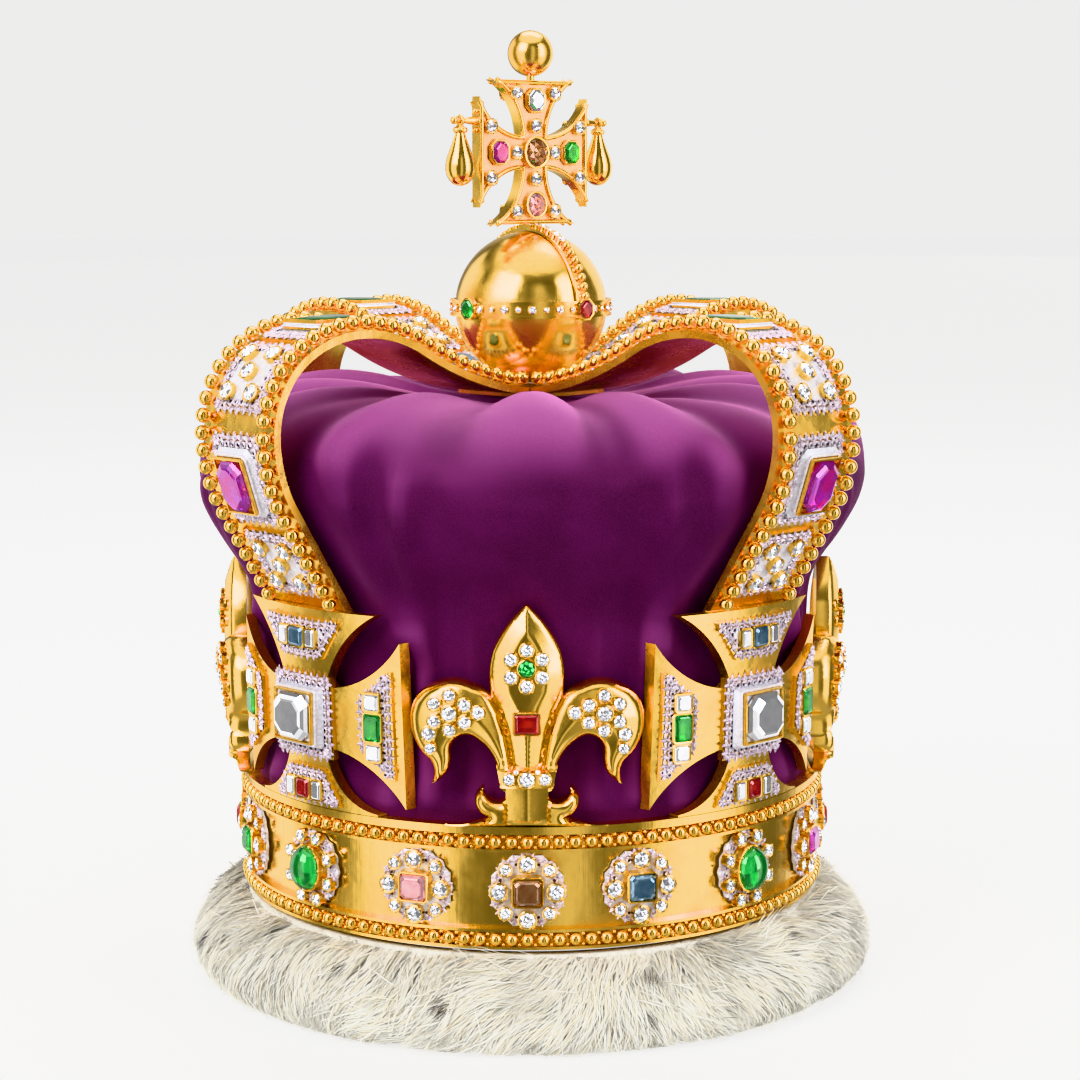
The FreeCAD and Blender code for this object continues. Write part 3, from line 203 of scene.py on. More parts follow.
WORLD_STOPS = [  # height of the view direction's end, brightness
    (0.0, 1.0),
    (0.565, 1.0),
    (0.66, 0.30),
    (0.85, 0.22),
    (1.0, 0.5),
]
world = bpy.data.worlds.new("studio")
world.use_nodes = True
bpy.context.scene.world = world
sky = world.node_tree
direction = add_node(sky, "ShaderNodeTexCoord")
split = add_node(sky, "ShaderNodeSeparateXYZ")
lift = add_node(sky, "ShaderNodeMapRange")
lift.inputs["From Min"].default_value = -1.0
ramp = add_node(sky, "ShaderNodeValToRGB")
while len(ramp.color_ramp.elements) < len(WORLD_STOPS):
    ramp.color_ramp.elements.new(0.5)
for element, (position, value) in zip(ramp.color_ramp.elements, WORLD_STOPS):
    element.position = position
    element.color = (value, value, value * 0.995, 1.0)
link(sky, direction.outputs["Generated"], split.inputs[0])
link(sky, split.outputs["Z"], lift.inputs["Value"])
link(sky, lift.outputs[0], ramp.inputs["Fac"])
background = sky.nodes["Background"]
link(sky, ramp.outputs["Color"], background.inputs["Color"])
background.inputs["Strength"].default_value = 0.95

LAMPS = [  # name, azimuth, distance, height, width, tall, watts
    ("key_lamp", -42.0, 1500.0, 1150.0, 1.1, 1.1, 42.0),
    ("side_lamp", 62.0, 1500.0, 620.0, 0.6, 1.5, 22.0),
    ("top_lamp", 170.0, 700.0, 1700.0, 1.4, 0.9, 30.0),
]
for name, azimuth, out, height, wide, tall, watts in LAMPS:
    lamp_data = bpy.data.lights.new(name, "AREA")
    lamp_data.shape = "RECTANGLE"
    lamp_data.size = wide
    lamp_data.size_y = tall
    lamp_data.energy = watts
    lamp = bpy.data.objects.new(name, lamp_data)
    bpy.context.scene.collection.objects.link(lamp)
    lamp.location = Vector(facing(azimuth, out, height)[:3, 3]) * MM
    lamp.rotation_euler = (Vector((0, 0, 0.17)) - lamp.location).to_track_quat("-Z", "Y").to_euler()
view_settings = bpy.context.scene.view_settings
view_settings.view_transform = "Khronos PBR Neutral"
print("lamps:", [row[0] for row in LAMPS])

# %% [markdown]
# ## What the gold reflects
# Polished metal has no look of its own: it shows the room. A photographer stands bright windows and dark
# cards round a jewel, just outside the picture, and they draw the streaks on the metal. Here a great ball
# round the scene plays that part. Only reflections see it, so the floor stays pale and plain in every
# view.

# %% A room for reflections
ROOM_RADIUS = 9.0
ROOM_WINDOWS = [  # azimuth from the front, brightness
    (-180, 0.60), (-152, 0.10), (-134, 1.90), (-108, 2.10), (-96, 0.12), (-76, 0.07), (-64, 2.30),
    (-38, 2.60),
    (-28, 0.16), (-10, 0.05), (2, 0.07), (10, 0.75), (19, 0.85), (27, 0.10), (46, 0.07), (56, 2.20),
    (80, 2.40),
    (92, 0.10), (122, 0.07), (134, 1.70), (160, 1.80), (180, 0.60),
]
WINDOW_SHARE = [(0.0, 0.0), (0.12, 0.0), (0.24, 1.0), (0.76, 1.0), (0.82, 0.0)]  # height in the room, share
ROOM_LIGHT = [(0.0, 0.50), (0.13, 0.45), (0.27, 0.05), (0.80, 0.04), (0.88, 0.20), (0.92, 1.80), (1.0, 2.20)]


def stops_ramp(tree, source, stops):
    """A grey ramp of (position, brightness) rows over a value from 0 to 1."""
    node = add_node(tree, "ShaderNodeValToRGB")
    while len(node.color_ramp.elements) < len(stops):
        node.color_ramp.elements.new(0.5)
    for element, (position, value) in zip(node.color_ramp.elements, stops):
        element.position = position
        element.color = (value, value, value, 1.0)
    tree.links.new(source, node.inputs["Fac"])
    return node.outputs["Color"]


def room_material():
    material, tree, shader = node_material("room")
    spot = add_node(tree, "ShaderNodeTexCoord").outputs["Object"]
    unit = add_node(tree, "ShaderNodeVectorMath", operation="NORMALIZE")
    axes = add_node(tree, "ShaderNodeSeparateXYZ")
    link(tree, spot, unit.inputs[0])
    link(tree, unit.outputs["Vector"], axes.inputs[0])
    back = add_node(tree, "ShaderNodeMath", operation="MULTIPLY")
    back.inputs[1].default_value = -1.0
    link(tree, axes.outputs["Y"], back.inputs[0])
    azimuth = add_node(tree, "ShaderNodeMath", operation="ARCTAN2")
    link(tree, axes.outputs["X"], azimuth.inputs[0])
    link(tree, back.outputs[0], azimuth.inputs[1])
    shares = []
    for source, limit in ((azimuth.outputs[0], math.pi), (axes.outputs["Z"], 1.0)):
        node = add_node(tree, "ShaderNodeMapRange")
        node.inputs["From Min"].default_value = -limit
        node.inputs["From Max"].default_value = limit
        link(tree, source, node.inputs["Value"])
        shares.append(node.outputs["Result"])
    windows = stops_ramp(tree, shares[0], [((a + 180) / 360, value) for a, value in ROOM_WINDOWS])
    window_share = stops_ramp(tree, shares[1], WINDOW_SHARE)
    rest = stops_ramp(tree, shares[1], ROOM_LIGHT)
    glow = add_node(tree, "ShaderNodeMath", operation="MULTIPLY_ADD")
    link(tree, windows, glow.inputs[0])
    link(tree, window_share, glow.inputs[1])
    link(tree, rest, glow.inputs[2])
    shader.inputs["Base Color"].default_value = (0.0, 0.0, 0.0, 1.0)
    shader.inputs["Emission Color"].default_value = (1.0, 0.985, 0.96, 1.0)
    link(tree, glow.outputs[0], shader.inputs["Emission Strength"])
    return material


room_mesh = bpy.data.meshes.new("room")
room_shell = bmesh.new()
bmesh.ops.create_icosphere(room_shell, subdivisions=4, radius=ROOM_RADIUS)
room_shell.to_mesh(room_mesh)
room_shell.free()
room_mesh.materials.append(room_material())
room = bpy.data.objects.new("room", room_mesh)
bpy.context.scene.collection.objects.link(room)
for way in ("camera", "diffuse", "shadow", "volume_scatter"):
    setattr(room, f"visible_{way}", False)
floor.visible_glossy = False
print("windows in the room:", len(ROOM_WINDOWS))

# %% [markdown]
# ## Gold
# Gold is a metal whose base colour tints its reflections. Hand-worked gold isn't even: its polish wavers,
# rubbing has left fine scratches, and a darker orange bloom lies over it in broad patches and fine specks.
# One function makes each finish, so the polished pieces, the brushed circlet and the old ball share the
# same make-up with other amounts.

# %% Gold finishes
def noise_node(tree, coordinates, scale, detail=3.0, stretch=None, rough=0.55):
    """A noise texture in object space, stretched along an axis where the metal was brushed."""
    texture = add_node(tree, "ShaderNodeTexNoise")
    texture.inputs["Scale"].default_value = scale
    texture.inputs["Detail"].default_value = detail
    texture.inputs["Roughness"].default_value = rough
    source = coordinates
    if stretch is not None:
        mapping = add_node(tree, "ShaderNodeMapping")
        mapping.inputs["Scale"].default_value = stretch
        link(tree, coordinates, mapping.inputs["Vector"])
        source = mapping.outputs["Vector"]
    link(tree, source, texture.inputs["Vector"])
    return texture.outputs["Fac"]


def ranged(tree, value, low, high, start=0.3, end=0.7):
    """Maps a value that runs from start to end onto low to high."""
    node = add_node(tree, "ShaderNodeMapRange")
    node.interpolation_type = "SMOOTHSTEP"
    for name, number in (("From Min", start), ("From Max", end), ("To Min", low), ("To Max", high)):
        node.inputs[name].default_value = number
    link(tree, value, node.inputs["Value"])
    return node.outputs["Result"]


def mixed(tree, share, first, second):
    """A colour between two colours, which are tuples or other nodes' colours."""
    node = add_node(tree, "ShaderNodeMix", data_type="RGBA")
    link(tree, share, node.inputs["Factor"])
    for socket, colour in ((node.inputs[6], first), (node.inputs[7], second)):
        if isinstance(colour, tuple):
            socket.default_value = (*colour, 1.0)
        else:
            link(tree, colour, socket)
    return node.outputs[2]


def bumped(tree, shader, height, strength, distance):
    node = add_node(tree, "ShaderNodeBump")
    node.inputs["Strength"].default_value = strength
    node.inputs["Distance"].default_value = distance
    link(tree, height, node.inputs["Height"])
    link(tree, node.outputs["Normal"], shader.inputs["Normal"])
    return node


def summed(tree, first, second, weight=1.0):
    node = add_node(tree, "ShaderNodeMath", operation="MULTIPLY_ADD")
    link(tree, second, node.inputs[0])
    node.inputs[1].default_value = weight
    link(tree, first, node.inputs[2])
    return node.outputs[0]


GOLD = (0.96, 0.62, 0.15)
GOLD_DEEP = (0.72, 0.34, 0.05)


def gold(name, polish=(0.10, 0.24), wear=0.5, dents=0.25, stretch=None, bright=GOLD, deep=GOLD_DEEP):
    """A gold finish. polish is the roughness from its brightest to its dullest spots, wear the share of
    darker bloom, dents how far its surface wavers, and stretch the way that it was brushed."""
    material, tree, shader = node_material(name)
    spot = add_node(tree, "ShaderNodeTexCoord").outputs["Object"]
    shader.inputs["Metallic"].default_value = 1.0
    broad = noise_node(tree, spot, 55.0, 4.0)
    fine = noise_node(tree, spot, 420.0, 5.0, stretch, 0.65)
    bloom = ranged(tree, broad, 0.0, wear, 0.46, 0.78)
    tinted = mixed(tree, bloom, bright, deep)
    speck = ranged(tree, fine, 0.0, 0.4 * wear, 0.55, 0.8)
    link(tree, mixed(tree, speck, tinted, deep), shader.inputs["Base Color"])
    dulled = summed(tree, ranged(tree, broad, polish[0], polish[1], 0.35, 0.7), fine, 0.10)
    link(tree, dulled, shader.inputs["Roughness"])
    waver = noise_node(tree, spot, 90.0, 2.0)
    bumped(tree, shader, summed(tree, waver, fine, 0.18), dents, 0.0012)
    return material


polished_gold = gold("polished_gold", (0.08, 0.20), 0.50, 0.10)
bead_gold = gold("bead_gold", (0.07, 0.15), 0.35, 0.04)
plate_gold = gold("plate_gold", (0.15, 0.30), 0.70, 0.22)
brushed_gold = gold("brushed_gold", (0.13, 0.27), 0.55, 0.18, (1.0, 1.0, 0.06))
old_gold = gold("old_gold", (0.09, 0.28), 0.85, 0.16)
satin_gold = gold("satin_gold", (0.36, 0.48), 0.30, 0.30, None, (0.95, 0.58, 0.28), (0.80, 0.38, 0.14))
print("gold finishes:", [m.name for m in bpy.data.materials if "gold" in m.name])

# %% [markdown]
# ## Silver lace, stones, velvet and fur
# The plates round the stones are silver with a cool white skin. The cast lace on them is a little darker
# and pinker, and its pierced holes are painted shade: nearly black discs stand for the dark inside them.
# Coloured stones are clear bodies with a high index, so light bends and flashes inside them. Diamonds and
# the big clear stones sit on foil: their facets mirror the room, which gives their sparkle at a size where
# real refraction would only be noise.

# %% Silver lace and stones
def silver(name, light, shade, hollow, rough=0.38):
    """Cast silver. light and shade drift over it, and hollow lies in its fine cracks."""
    material, tree, shader = node_material(name)
    spot = add_node(tree, "ShaderNodeTexCoord").outputs["Object"]
    grain = noise_node(tree, spot, 700.0, 4.0)
    cells = add_node(tree, "ShaderNodeTexVoronoi", feature="DISTANCE_TO_EDGE")
    cells.inputs["Scale"].default_value = 420.0
    link(tree, spot, cells.inputs["Vector"])
    crack = ranged(tree, cells.outputs["Distance"], 0.8, 0.0, 0.0, 0.10)
    base = mixed(tree, ranged(tree, grain, 0.0, 1.0, 0.35, 0.65), light, shade)
    link(tree, mixed(tree, crack, base, hollow), shader.inputs["Base Color"])
    shader.inputs["Metallic"].default_value = 0.30
    shader.inputs["Roughness"].default_value = rough
    bumped(tree, shader, summed(tree, grain, cells.outputs["Distance"], 1.2), 0.25, 0.0005)
    return material


def cut_stone(name, colour, index, roughness=0.0, metallic=0.0, cloud=None):
    """A clear coloured stone. cloud is a second colour that drifts through it."""
    material, tree, shader = node_material(name)
    spot = add_node(tree, "ShaderNodeTexCoord").outputs["Object"]
    drift = ranged(tree, noise_node(tree, spot, 260.0, 3.0), 0.0, 1.0)
    link(tree, mixed(tree, drift, colour, cloud or colour), shader.inputs["Base Color"])
    shader.inputs["Transmission Weight"].default_value = 1.0 - metallic
    shader.inputs["Metallic"].default_value = metallic
    shader.inputs["IOR"].default_value = index
    shader.inputs["Roughness"].default_value = roughness
    return material


def foil_stone(name, colour, cloud, coat=0.6):
    """A stone whose facets mirror the room in its own colour."""
    material, tree, shader = node_material(name)
    spot = add_node(tree, "ShaderNodeTexCoord").outputs["Object"]
    drift = ranged(tree, noise_node(tree, spot, 300.0, 2.0), 0.0, 1.0)
    link(tree, mixed(tree, drift, colour, cloud), shader.inputs["Base Color"])
    shader.inputs["Metallic"].default_value = 0.9
    shader.inputs["Roughness"].default_value = 0.04
    shader.inputs["Coat Weight"].default_value = coat
    shader.inputs["Coat Roughness"].default_value = 0.02
    return material


white_silver = silver("white_silver", (0.74, 0.74, 0.80), (0.60, 0.60, 0.67), (0.50, 0.49, 0.55))
lace_silver = silver("lace_silver", (0.78, 0.71, 0.78), (0.55, 0.47, 0.55), (0.24, 0.15, 0.20), 0.30)
# Painted shade: in this nearly black colour, dark discs stand in the lace's pierced holes for the shade inside
# them.
painted_hole_shade = silver("painted_hole_shade", (0.060, 0.035, 0.040), (0.030, 0.018, 0.022), (0.010, 0.006, 0.008), 0.6)
STONES = {
    "clear_stone": foil_stone("clear_stone", (0.98, 0.98, 1.0), (0.86, 0.88, 0.93), 1.0),
    "emerald": cut_stone("emerald", (0.06, 0.66, 0.14), 1.58, 0.0, 0.10, (0.02, 0.40, 0.06)),
    "ruby": cut_stone("ruby", (0.72, 0.07, 0.06), 1.77, 0.0, 0.25, (0.45, 0.02, 0.03)),
    "purple_stone": cut_stone("purple_stone", (0.62, 0.14, 0.82), 1.70, 0.0, 0.15, (0.75, 0.06, 0.42)),
    "pink_stone": cut_stone("pink_stone", (0.88, 0.50, 0.52), 1.70, 0.0, 0.35, (0.70, 0.30, 0.34)),
    "blue_stone": cut_stone("blue_stone", (0.22, 0.34, 0.46), 1.77, 0.0, 0.45, (0.10, 0.20, 0.30)),
    "brown_stone": cut_stone("brown_stone", (0.50, 0.28, 0.15), 1.70, 0.0, 0.30, (0.30, 0.13, 0.06)),
}
diamond = foil_stone("diamond_facets", (0.97, 0.97, 1.0), (0.70, 0.72, 0.78), 0.8)
small_green = foil_stone("green_facets", (0.10, 0.70, 0.20), (0.03, 0.40, 0.08))
print("stones:", sorted(STONES))

# %% Velvet and fur finishes
def velvet():
    """Short pile with painted light and shade: pink and sheened on slopes that face up and on fold crests, dark on
    steep sides and in fold valleys.
    """
    material, tree, shader = node_material("purple_velvet")
    spot = add_node(tree, "ShaderNodeTexCoord").outputs["Object"]
    pile = noise_node(tree, spot, 2600.0, 3.0)
    patches = noise_node(tree, spot, 38.0, 3.0)
    dark = mixed(tree, ranged(tree, patches, 0.0, 1.0), (0.034, 0.004, 0.022), (0.056, 0.007, 0.040))
    # Painted light: the colour and the sheen weight grow lighter as the normal turns up and on fold crests, and
    # darker on steep sides and in fold valleys.
    facing = add_node(tree, "ShaderNodeSeparateXYZ")
    link(tree, add_node(tree, "ShaderNodeNewGeometry").outputs["Normal"], facing.inputs[0])
    fold_light = add_node(tree, "ShaderNodeVertexColor", layer_name="painted_fold_light").outputs["Color"]
    slope = summed(tree, facing.outputs["Z"], ranged(tree, fold_light, -1.0, 1.0, 0.0, 1.0), 0.45)
    lit = ranged(tree, slope, 0.0, 1.0, -0.1, 1.2)
    base = mixed(tree, lit, dark, (0.22, 0.050, 0.17))
    tufted = mixed(tree, ranged(tree, pile, 0.0, 0.35), base, (0.125, 0.018, 0.090))
    link(tree, tufted, shader.inputs["Base Color"])
    link(tree, ranged(tree, lit, 0.20, 0.95, 0.0, 1.0), shader.inputs["Sheen Weight"])
    shader.inputs["Roughness"].default_value = 0.75
    shader.inputs["Specular IOR Level"].default_value = 0.12
    shader.inputs["Sheen Roughness"].default_value = 0.34
    shader.inputs["Sheen Tint"].default_value = (0.88, 0.34, 0.72, 1.0)
    bumped(tree, shader, pile, 0.35, 0.0005)
    return material


def fur(name):
    """Hair takes its colour from what each strand carries: its own tone, with painted shade towards the root and a
    painted highlight at the tip.
    """
    material, tree, shader = node_material(name)
    tint = add_node(tree, "ShaderNodeVertexColor", layer_name="strand_tone_and_root_shade")
    link(tree, tint.outputs["Color"], shader.inputs["Base Color"])
    shader.inputs["Roughness"].default_value = 0.55
    shader.inputs["Specular IOR Level"].default_value = 0.25
    shader.inputs["Sheen Weight"].default_value = 0.25
    return material


purple_velvet = velvet()
strand_fur = fur("fur_strands")
under_fur, under_tree, under_shader = node_material("fur_underside")
under_spot = add_node(under_tree, "ShaderNodeTexCoord").outputs["Object"]
under_noise = noise_node(under_tree, under_spot, 500.0, 4.0, (1.0, 1.0, 0.3))
under_share = ranged(under_tree, under_noise, 0.0, 1.0)
under_colour = mixed(under_tree, under_share, (0.78, 0.76, 0.70), (0.60, 0.57, 0.50))
link(under_tree, under_colour, under_shader.inputs["Base Color"])
under_shader.inputs["Roughness"].default_value = 0.9
bumped(under_tree, under_shader, under_noise, 0.6, 0.002)
print("soft finishes:", purple_velvet.name, strand_fur.name, under_fur.name)

# %% [markdown]
# ## The small shapes
# A bead is a ball made of even triangles. A round diamond is an eight-fold pattern: a ring of crown
# facets, and inside the table the pavilion's facets, which are modelled as the shallow star that the eye
# sees. A collet is a short tube with a rolled edge. Turning a profile about an axis makes tubes, rims and
# drops.

# %% Beads, diamonds and collets
def ball(detail):
    """A ball of radius 1 from an icosahedron, divided detail times."""
    shell = bmesh.new()
    bmesh.ops.create_icosphere(shell, subdivisions=detail, radius=1.0)
    points = [tuple(v.co) for v in shell.verts]
    faces = [tuple(v.index for v in f.verts) for f in shell.faces]
    shell.free()
    return Shape(points, faces)


def turned(profile, around):
    """A profile of (radius, height) rows turned about Z. A row of radius 0 closes that end."""
    points, rows, faces = [], [], []
    for radius, height in profile:
        if radius == 0:
            rows.append([len(points)] * around)
            points.append((0.0, 0.0, height))
            continue
        rows.append(list(range(len(points), len(points) + around)))
        for n in range(around):
            turn = 2 * math.pi * n / around
            points.append((radius * math.cos(turn), radius * math.sin(turn), height))
    for low, high in zip(rows, rows[1:]):
        for n in range(around):
            m = (n + 1) % around
            face = [low[n], low[m], high[m], high[n]]
            faces.append(tuple(dict.fromkeys(face)))
    return Shape(points, faces)


def brilliant():
    """A round diamond of radius 1: girdle, crown facets, and the star of the pavilion inside the table."""
    rings = [  # radius, height, first angle as a share of a step of eight, points
        (1.0, 0.05, 0.0, 16),
        (0.80, 0.30, 0.5, 8),
        (0.56, 0.42, 0.0, 8),
        (0.34, 0.16, 0.5, 8),
    ]
    points, starts = [], []
    for radius, height, first, count in rings:
        starts.append(len(points))
        for n in range(count):
            turn = 2 * math.pi * (n / count + first / 8)
            points.append((radius * math.cos(turn), radius * math.sin(turn), height))
    centre = len(points)
    points.append((0.0, 0.0, 0.36))
    girdle, bezel, table, star = starts
    faces = []
    for n in range(8):
        m = (n + 1) % 8
        faces += [
            (girdle + 2 * n, girdle + 2 * n + 1, bezel + n),
            (girdle + 2 * n + 1, girdle + (2 * n + 2) % 16, bezel + n),
            (girdle + 2 * n, bezel + n, table + n, bezel + (n - 1) % 8),
            (bezel + n, table + m, table + n),
            (table + n, table + m, star + n),
            (star + n, table + m, star + m),
            (star + n, star + m, centre),
        ]
    return Shape(points, faces)


bead = ball(3)
granule = ball(1)
gem = brilliant()
COLLET_ROWS = [(1.06, 0.0), (1.02, 0.5), (1.11, 0.86), (1.12, 1.0), (1.02, 1.06), (0.93, 0.96), (0.92, 0.7)]
collet = turned(COLLET_ROWS, 14)
claw = ball(1).scaled(0.20, 0.20, 0.26)
claws = joined([claw.moved(shifted(np.eye(4), math.cos(a) * 1.02, math.sin(a) * 1.02, 1.02))
                for a in [math.pi / 4 + math.pi / 2 * n for n in range(4)]])
print("bead faces:", len(bead.faces), "diamond faces:", len(gem.faces))


class Setting:
    """Collects round diamonds in their collets, so that each area's stones become two meshes."""

    def __init__(self):
        self.metal = []
        self.stones = []

    def add(self, spot, radius, height, depth=0.0):
        """A diamond at a place, with its collet standing up by height from depth below."""
        base = shifted(spot, z=-depth)
        tall = height + depth
        self.metal.append(collet.scaled(radius, radius, tall).moved(base))
        prongs = claws.scaled(radius, radius, radius * 0.6)
        self.metal.append(prongs.moved(shifted(base, z=tall - radius * 0.62)))
        turn = random.uniform(0, 45)
        self.stones.append(gem.scaled(radius * 0.96, radius * 0.96, radius * 0.9).moved(
            shifted(base, z=tall - 0.10 * radius, turn=turn)))

    def finish(self, name, body="crown"):
        piece(f"{name}_collets", joined(self.metal), bead_gold, body, sharp=50)
        piece(f"{name}_diamonds", joined(self.stones), diamond, body, smooth=False)


random.seed(7)

# %% [markdown]
# ## Step-cut stones
# An emerald cut is a stack of eight-sided rings. The crown steps in twice up to a flat table, and the
# pavilion steps in below the girdle to a short keel. The body is closed, so light that enters the table
# is turned back by the pavilion.

# %% A step-cut stone
CROWN_STEPS = [(1.0, 0.0), (0.90, 0.48), (0.76, 0.86), (0.66, 1.0)]  # share of the outline, share of the crown
PAVILION_STEPS = [(0.80, 0.45), (0.52, 0.80), (0.18, 1.0)]  # share of the outline, share of the pavilion


def eight_corners(wide, tall, cut):
    x, y = wide / 2, tall / 2
    return [(x - cut, -y), (x, -y + cut), (x, y - cut), (x - cut, y), (-x + cut, y), (-x, y - cut), (-x, -y + cut),
            (-x + cut, -y)]


def step_cut(wide, tall, crown, pavilion, corner=0.22):
    """A stone whose girdle lies at height 0. corner is the cut corner's share of the shorter side."""
    short = min(wide, tall)
    outline = eight_corners(wide, tall, short * corner)
    levels = [(share, -deep * pavilion) for share, deep in reversed(PAVILION_STEPS)]
    levels += [(1.0, -0.04 * short)] + [(share, high * crown) for share, high in CROWN_STEPS]
    points = []
    for share, height in levels:
        inset = short / 2 * (1 - share)
        for x, y in outline:
            points.append((x - math.copysign(inset, x), y - math.copysign(inset, y), height))
    faces = [tuple(reversed(range(8))), tuple(range(len(points) - 8, len(points)))]
    for n in range(len(levels) - 1):
        for k in range(8):
            m = (k + 1) % 8
            faces.append((8 * n + k, 8 * n + m, 8 * n + 8 + m, 8 * n + 8 + k))
    return Shape(points, faces)


def box_collet(wide, tall, height, wall=0.8, cut=0.0, flare=0.3, inside=0.6):
    """A setting that follows a step-cut stone: outer wall, rolled lip and inner wall."""
    rows = [(wall + flare, 0.0), (wall, height * 0.55), (wall + 0.1, height - 0.35), (wall - 0.15, height),
            (wall - 0.55, height - 0.05), (-0.05, height - inside), (-0.4, 0.2)]
    points, faces = [], []
    for out, z in rows:
        corners = eight_corners(wide + 2 * out, tall + 2 * out, cut + 0.59 * max(out, 0.0) + 0.02)
        points += [(x, y, z) for x, y in corners]
    for n in range(len(rows) - 1):
        for k in range(8):
            m = (k + 1) % 8
            faces.append((8 * n + k, 8 * n + m, 8 * n + 8 + m, 8 * n + 8 + k))
    faces.append(tuple(range(len(points) - 8, len(points))))
    return Shape(points, faces)


print("step-cut faces:", len(step_cut(9.3, 8.8, 2.0, 2.0).faces))

# %% [markdown]
# ## Silver lace
# The lace is cast leaf work. Its edge is a row of small palmettes: a middle leaf with a curled leaf on
# each side, and a bead at the root. Behind them run curled wires, turned one way and the other, and at
# each curl a nearly black disc is painted shade for a pierced hole. The same palmette, turned and scaled,
# edges every panel, which keeps one hand's style all over.

# %% A palmette and rows of it
def leaf(length, width, height, curl):
    """A leaf from the origin along +Y that bends sideways by curl. It has a raised midrib."""
    steps = 4
    points, faces = [], []
    for n in range(steps + 1):
        t = n / steps
        half = width / 2 * math.sin(math.pi * min(1.0, 0.12 + 0.88 * t)) ** 0.7 if n < steps else 0.02
        bend = curl * t * t
        x, y = math.sin(bend) * length * t * 0.9, math.cos(bend) * length * t
        side = np.array((math.cos(bend * 1.6), -math.sin(bend * 1.6)))
        rise = height * math.sin(math.pi * min(1.0, 0.15 + 0.85 * t)) + 0.1
        across, along = side[0] * half, side[1] * half
        points += [(x - across, y - along, 0.0), (x, y, rise), (x + across, y + along, 0.0)]
    for n in range(steps):
        a = 3 * n
        faces += [(a, a + 1, a + 4, a + 3), (a + 1, a + 2, a + 5, a + 4)]
    return Shape(points, faces)


def scroll(radius, wire, turns=0.85, steps=6, sides=4):
    """A small C-shaped wire that curls inward at its end."""
    points, faces = [], []
    for n in range(steps + 1):
        t = n / steps
        turn = 2 * math.pi * turns * t
        reach = radius * (1 - 0.55 * t)
        centre = np.array((reach * math.cos(turn), reach * math.sin(turn)))
        out = np.array((math.cos(turn), math.sin(turn)))
        thick = wire * (1.15 - 0.5 * t)
        for k in range(sides):
            a = 2 * math.pi * k / sides
            spot = centre + out * thick * math.cos(a)
            points.append((spot[0], spot[1], wire * 0.8 + thick * math.sin(a)))
    for n in range(steps):
        for k in range(sides):
            m = (k + 1) % sides
            faces.append((n * sides + k, n * sides + m, n * sides + sides + m, n * sides + sides + k))
    return Shape(points, faces)


side_leaf = leaf(1.75, 0.85, 0.42, 0.9)
mirrored_leaf = Shape(side_leaf.points * (-1, 1, 1), [tuple(reversed(f)) for f in side_leaf.faces])
palmette = joined([
    leaf(1.9, 0.9, 0.5, 0.0),
    side_leaf.moved(shifted(np.eye(4), 0.25, -0.1, turn=-38)),
    mirrored_leaf.moved(shifted(np.eye(4), -0.25, -0.1, turn=38)),
    ball(1).scaled(0.42, 0.42, 0.45).moved(shifted(np.eye(4), 0, -0.25, 0.25)),
])
curl = scroll(1.05, 0.30)
back_curl = Shape(curl.points * (-1, 1, 1), [tuple(reversed(f)) for f in curl.faces])
# A low disc that is painted shade, standing for a pierced hole.
hole_shade_disc = turned([(1.0, 0.0), (0.85, 0.12), (0.0, 0.06)], 8)
LACE_PITCH = 3.1


def edge_spots(outline, pitch, inset=0.0):
    """Evenly spaced spots along an anticlockwise outline, each with its outward direction in degrees."""
    spots = []
    count = len(outline)
    for n in range(count):
        start, end = np.array(outline[n], float), np.array(outline[(n + 1) % count], float)
        run = end - start
        length = np.linalg.norm(run)
        if length < 1e-6:
            continue
        out = np.array((run[1], -run[0])) / length
        many = max(1, round(length / pitch))
        for k in range(many):
            spot = start + run * (k + 0.5) / many - out * inset
            spots.append((spot[0], spot[1], math.degrees(math.atan2(out[1], out[0]))))
    return spots


class Lace:
    """Collects the silver plates, the lace on them and the dark discs of painted shade in its pierced holes, one
    mesh for each.
    """

    def __init__(self):
        self.plates = []
        self.leaves = []
        self.hole_shades = []

    def edge(self, surface, outline, pitch=LACE_PITCH, inset=0.9, size=1.2, lift=0.0):
        """Palmettes along an outline, pointing outward, with a row of curls behind them, each with a disc of
        painted hole shade.
        surface(x, y, lift) gives the place."""
        for x, y, way in edge_spots(outline, pitch, inset):
            turn = way - 90 + random.uniform(-9, 9)
            grow = size * random.uniform(0.88, 1.12)
            self.leaves.append(palmette.moved(shifted(surface(x, y, lift), turn=turn, scale=grow)))
        for n, (x, y, way) in enumerate(edge_spots(outline, pitch * 0.86, inset + 1.25 * size)):
            spot = surface(x, y, lift)
            shape = curl if n % 2 else back_curl
            turned_by = way - 90 + random.uniform(-25, 25)
            self.leaves.append(shape.moved(shifted(spot, turn=turned_by, scale=size * 0.95)))
            # Painted shade: a dark disc at each curl stands for the shade inside a pierced hole.
            self.hole_shades.append(hole_shade_disc.scaled(0.52 * size, 0.52 * size, 0.6).moved(spot))

    def finish(self, name):
        made = piece(f"{name}_plates", joined(self.plates), white_silver, sharp=40)
        piece(f"{name}_lace", joined(self.leaves), lace_silver, sharp=50)
        piece(f"{name}_pierced_shade", joined(self.hole_shades), painted_hole_shade)
        return made


print("palmette faces:", len(palmette.faces), "curl faces:", len(curl.faces))

# %% [markdown]
# ## The circlet
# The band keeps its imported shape, with its edges softened by a bevel and a finish that was brushed round
# the crown. The beads lie in their channels, and a row of granules fills the corners between them.

# %% Band and bead rows
BEAD_CIRCLE = 104.0
BEAD_RADIUS = 2.2
BEAD_COUNT = 124
BEAD_ROWS = {"lower": 35.0, "upper": 68.0}
GRANULE_RADIUS = 0.72
GRANULE_OUT = 104.25


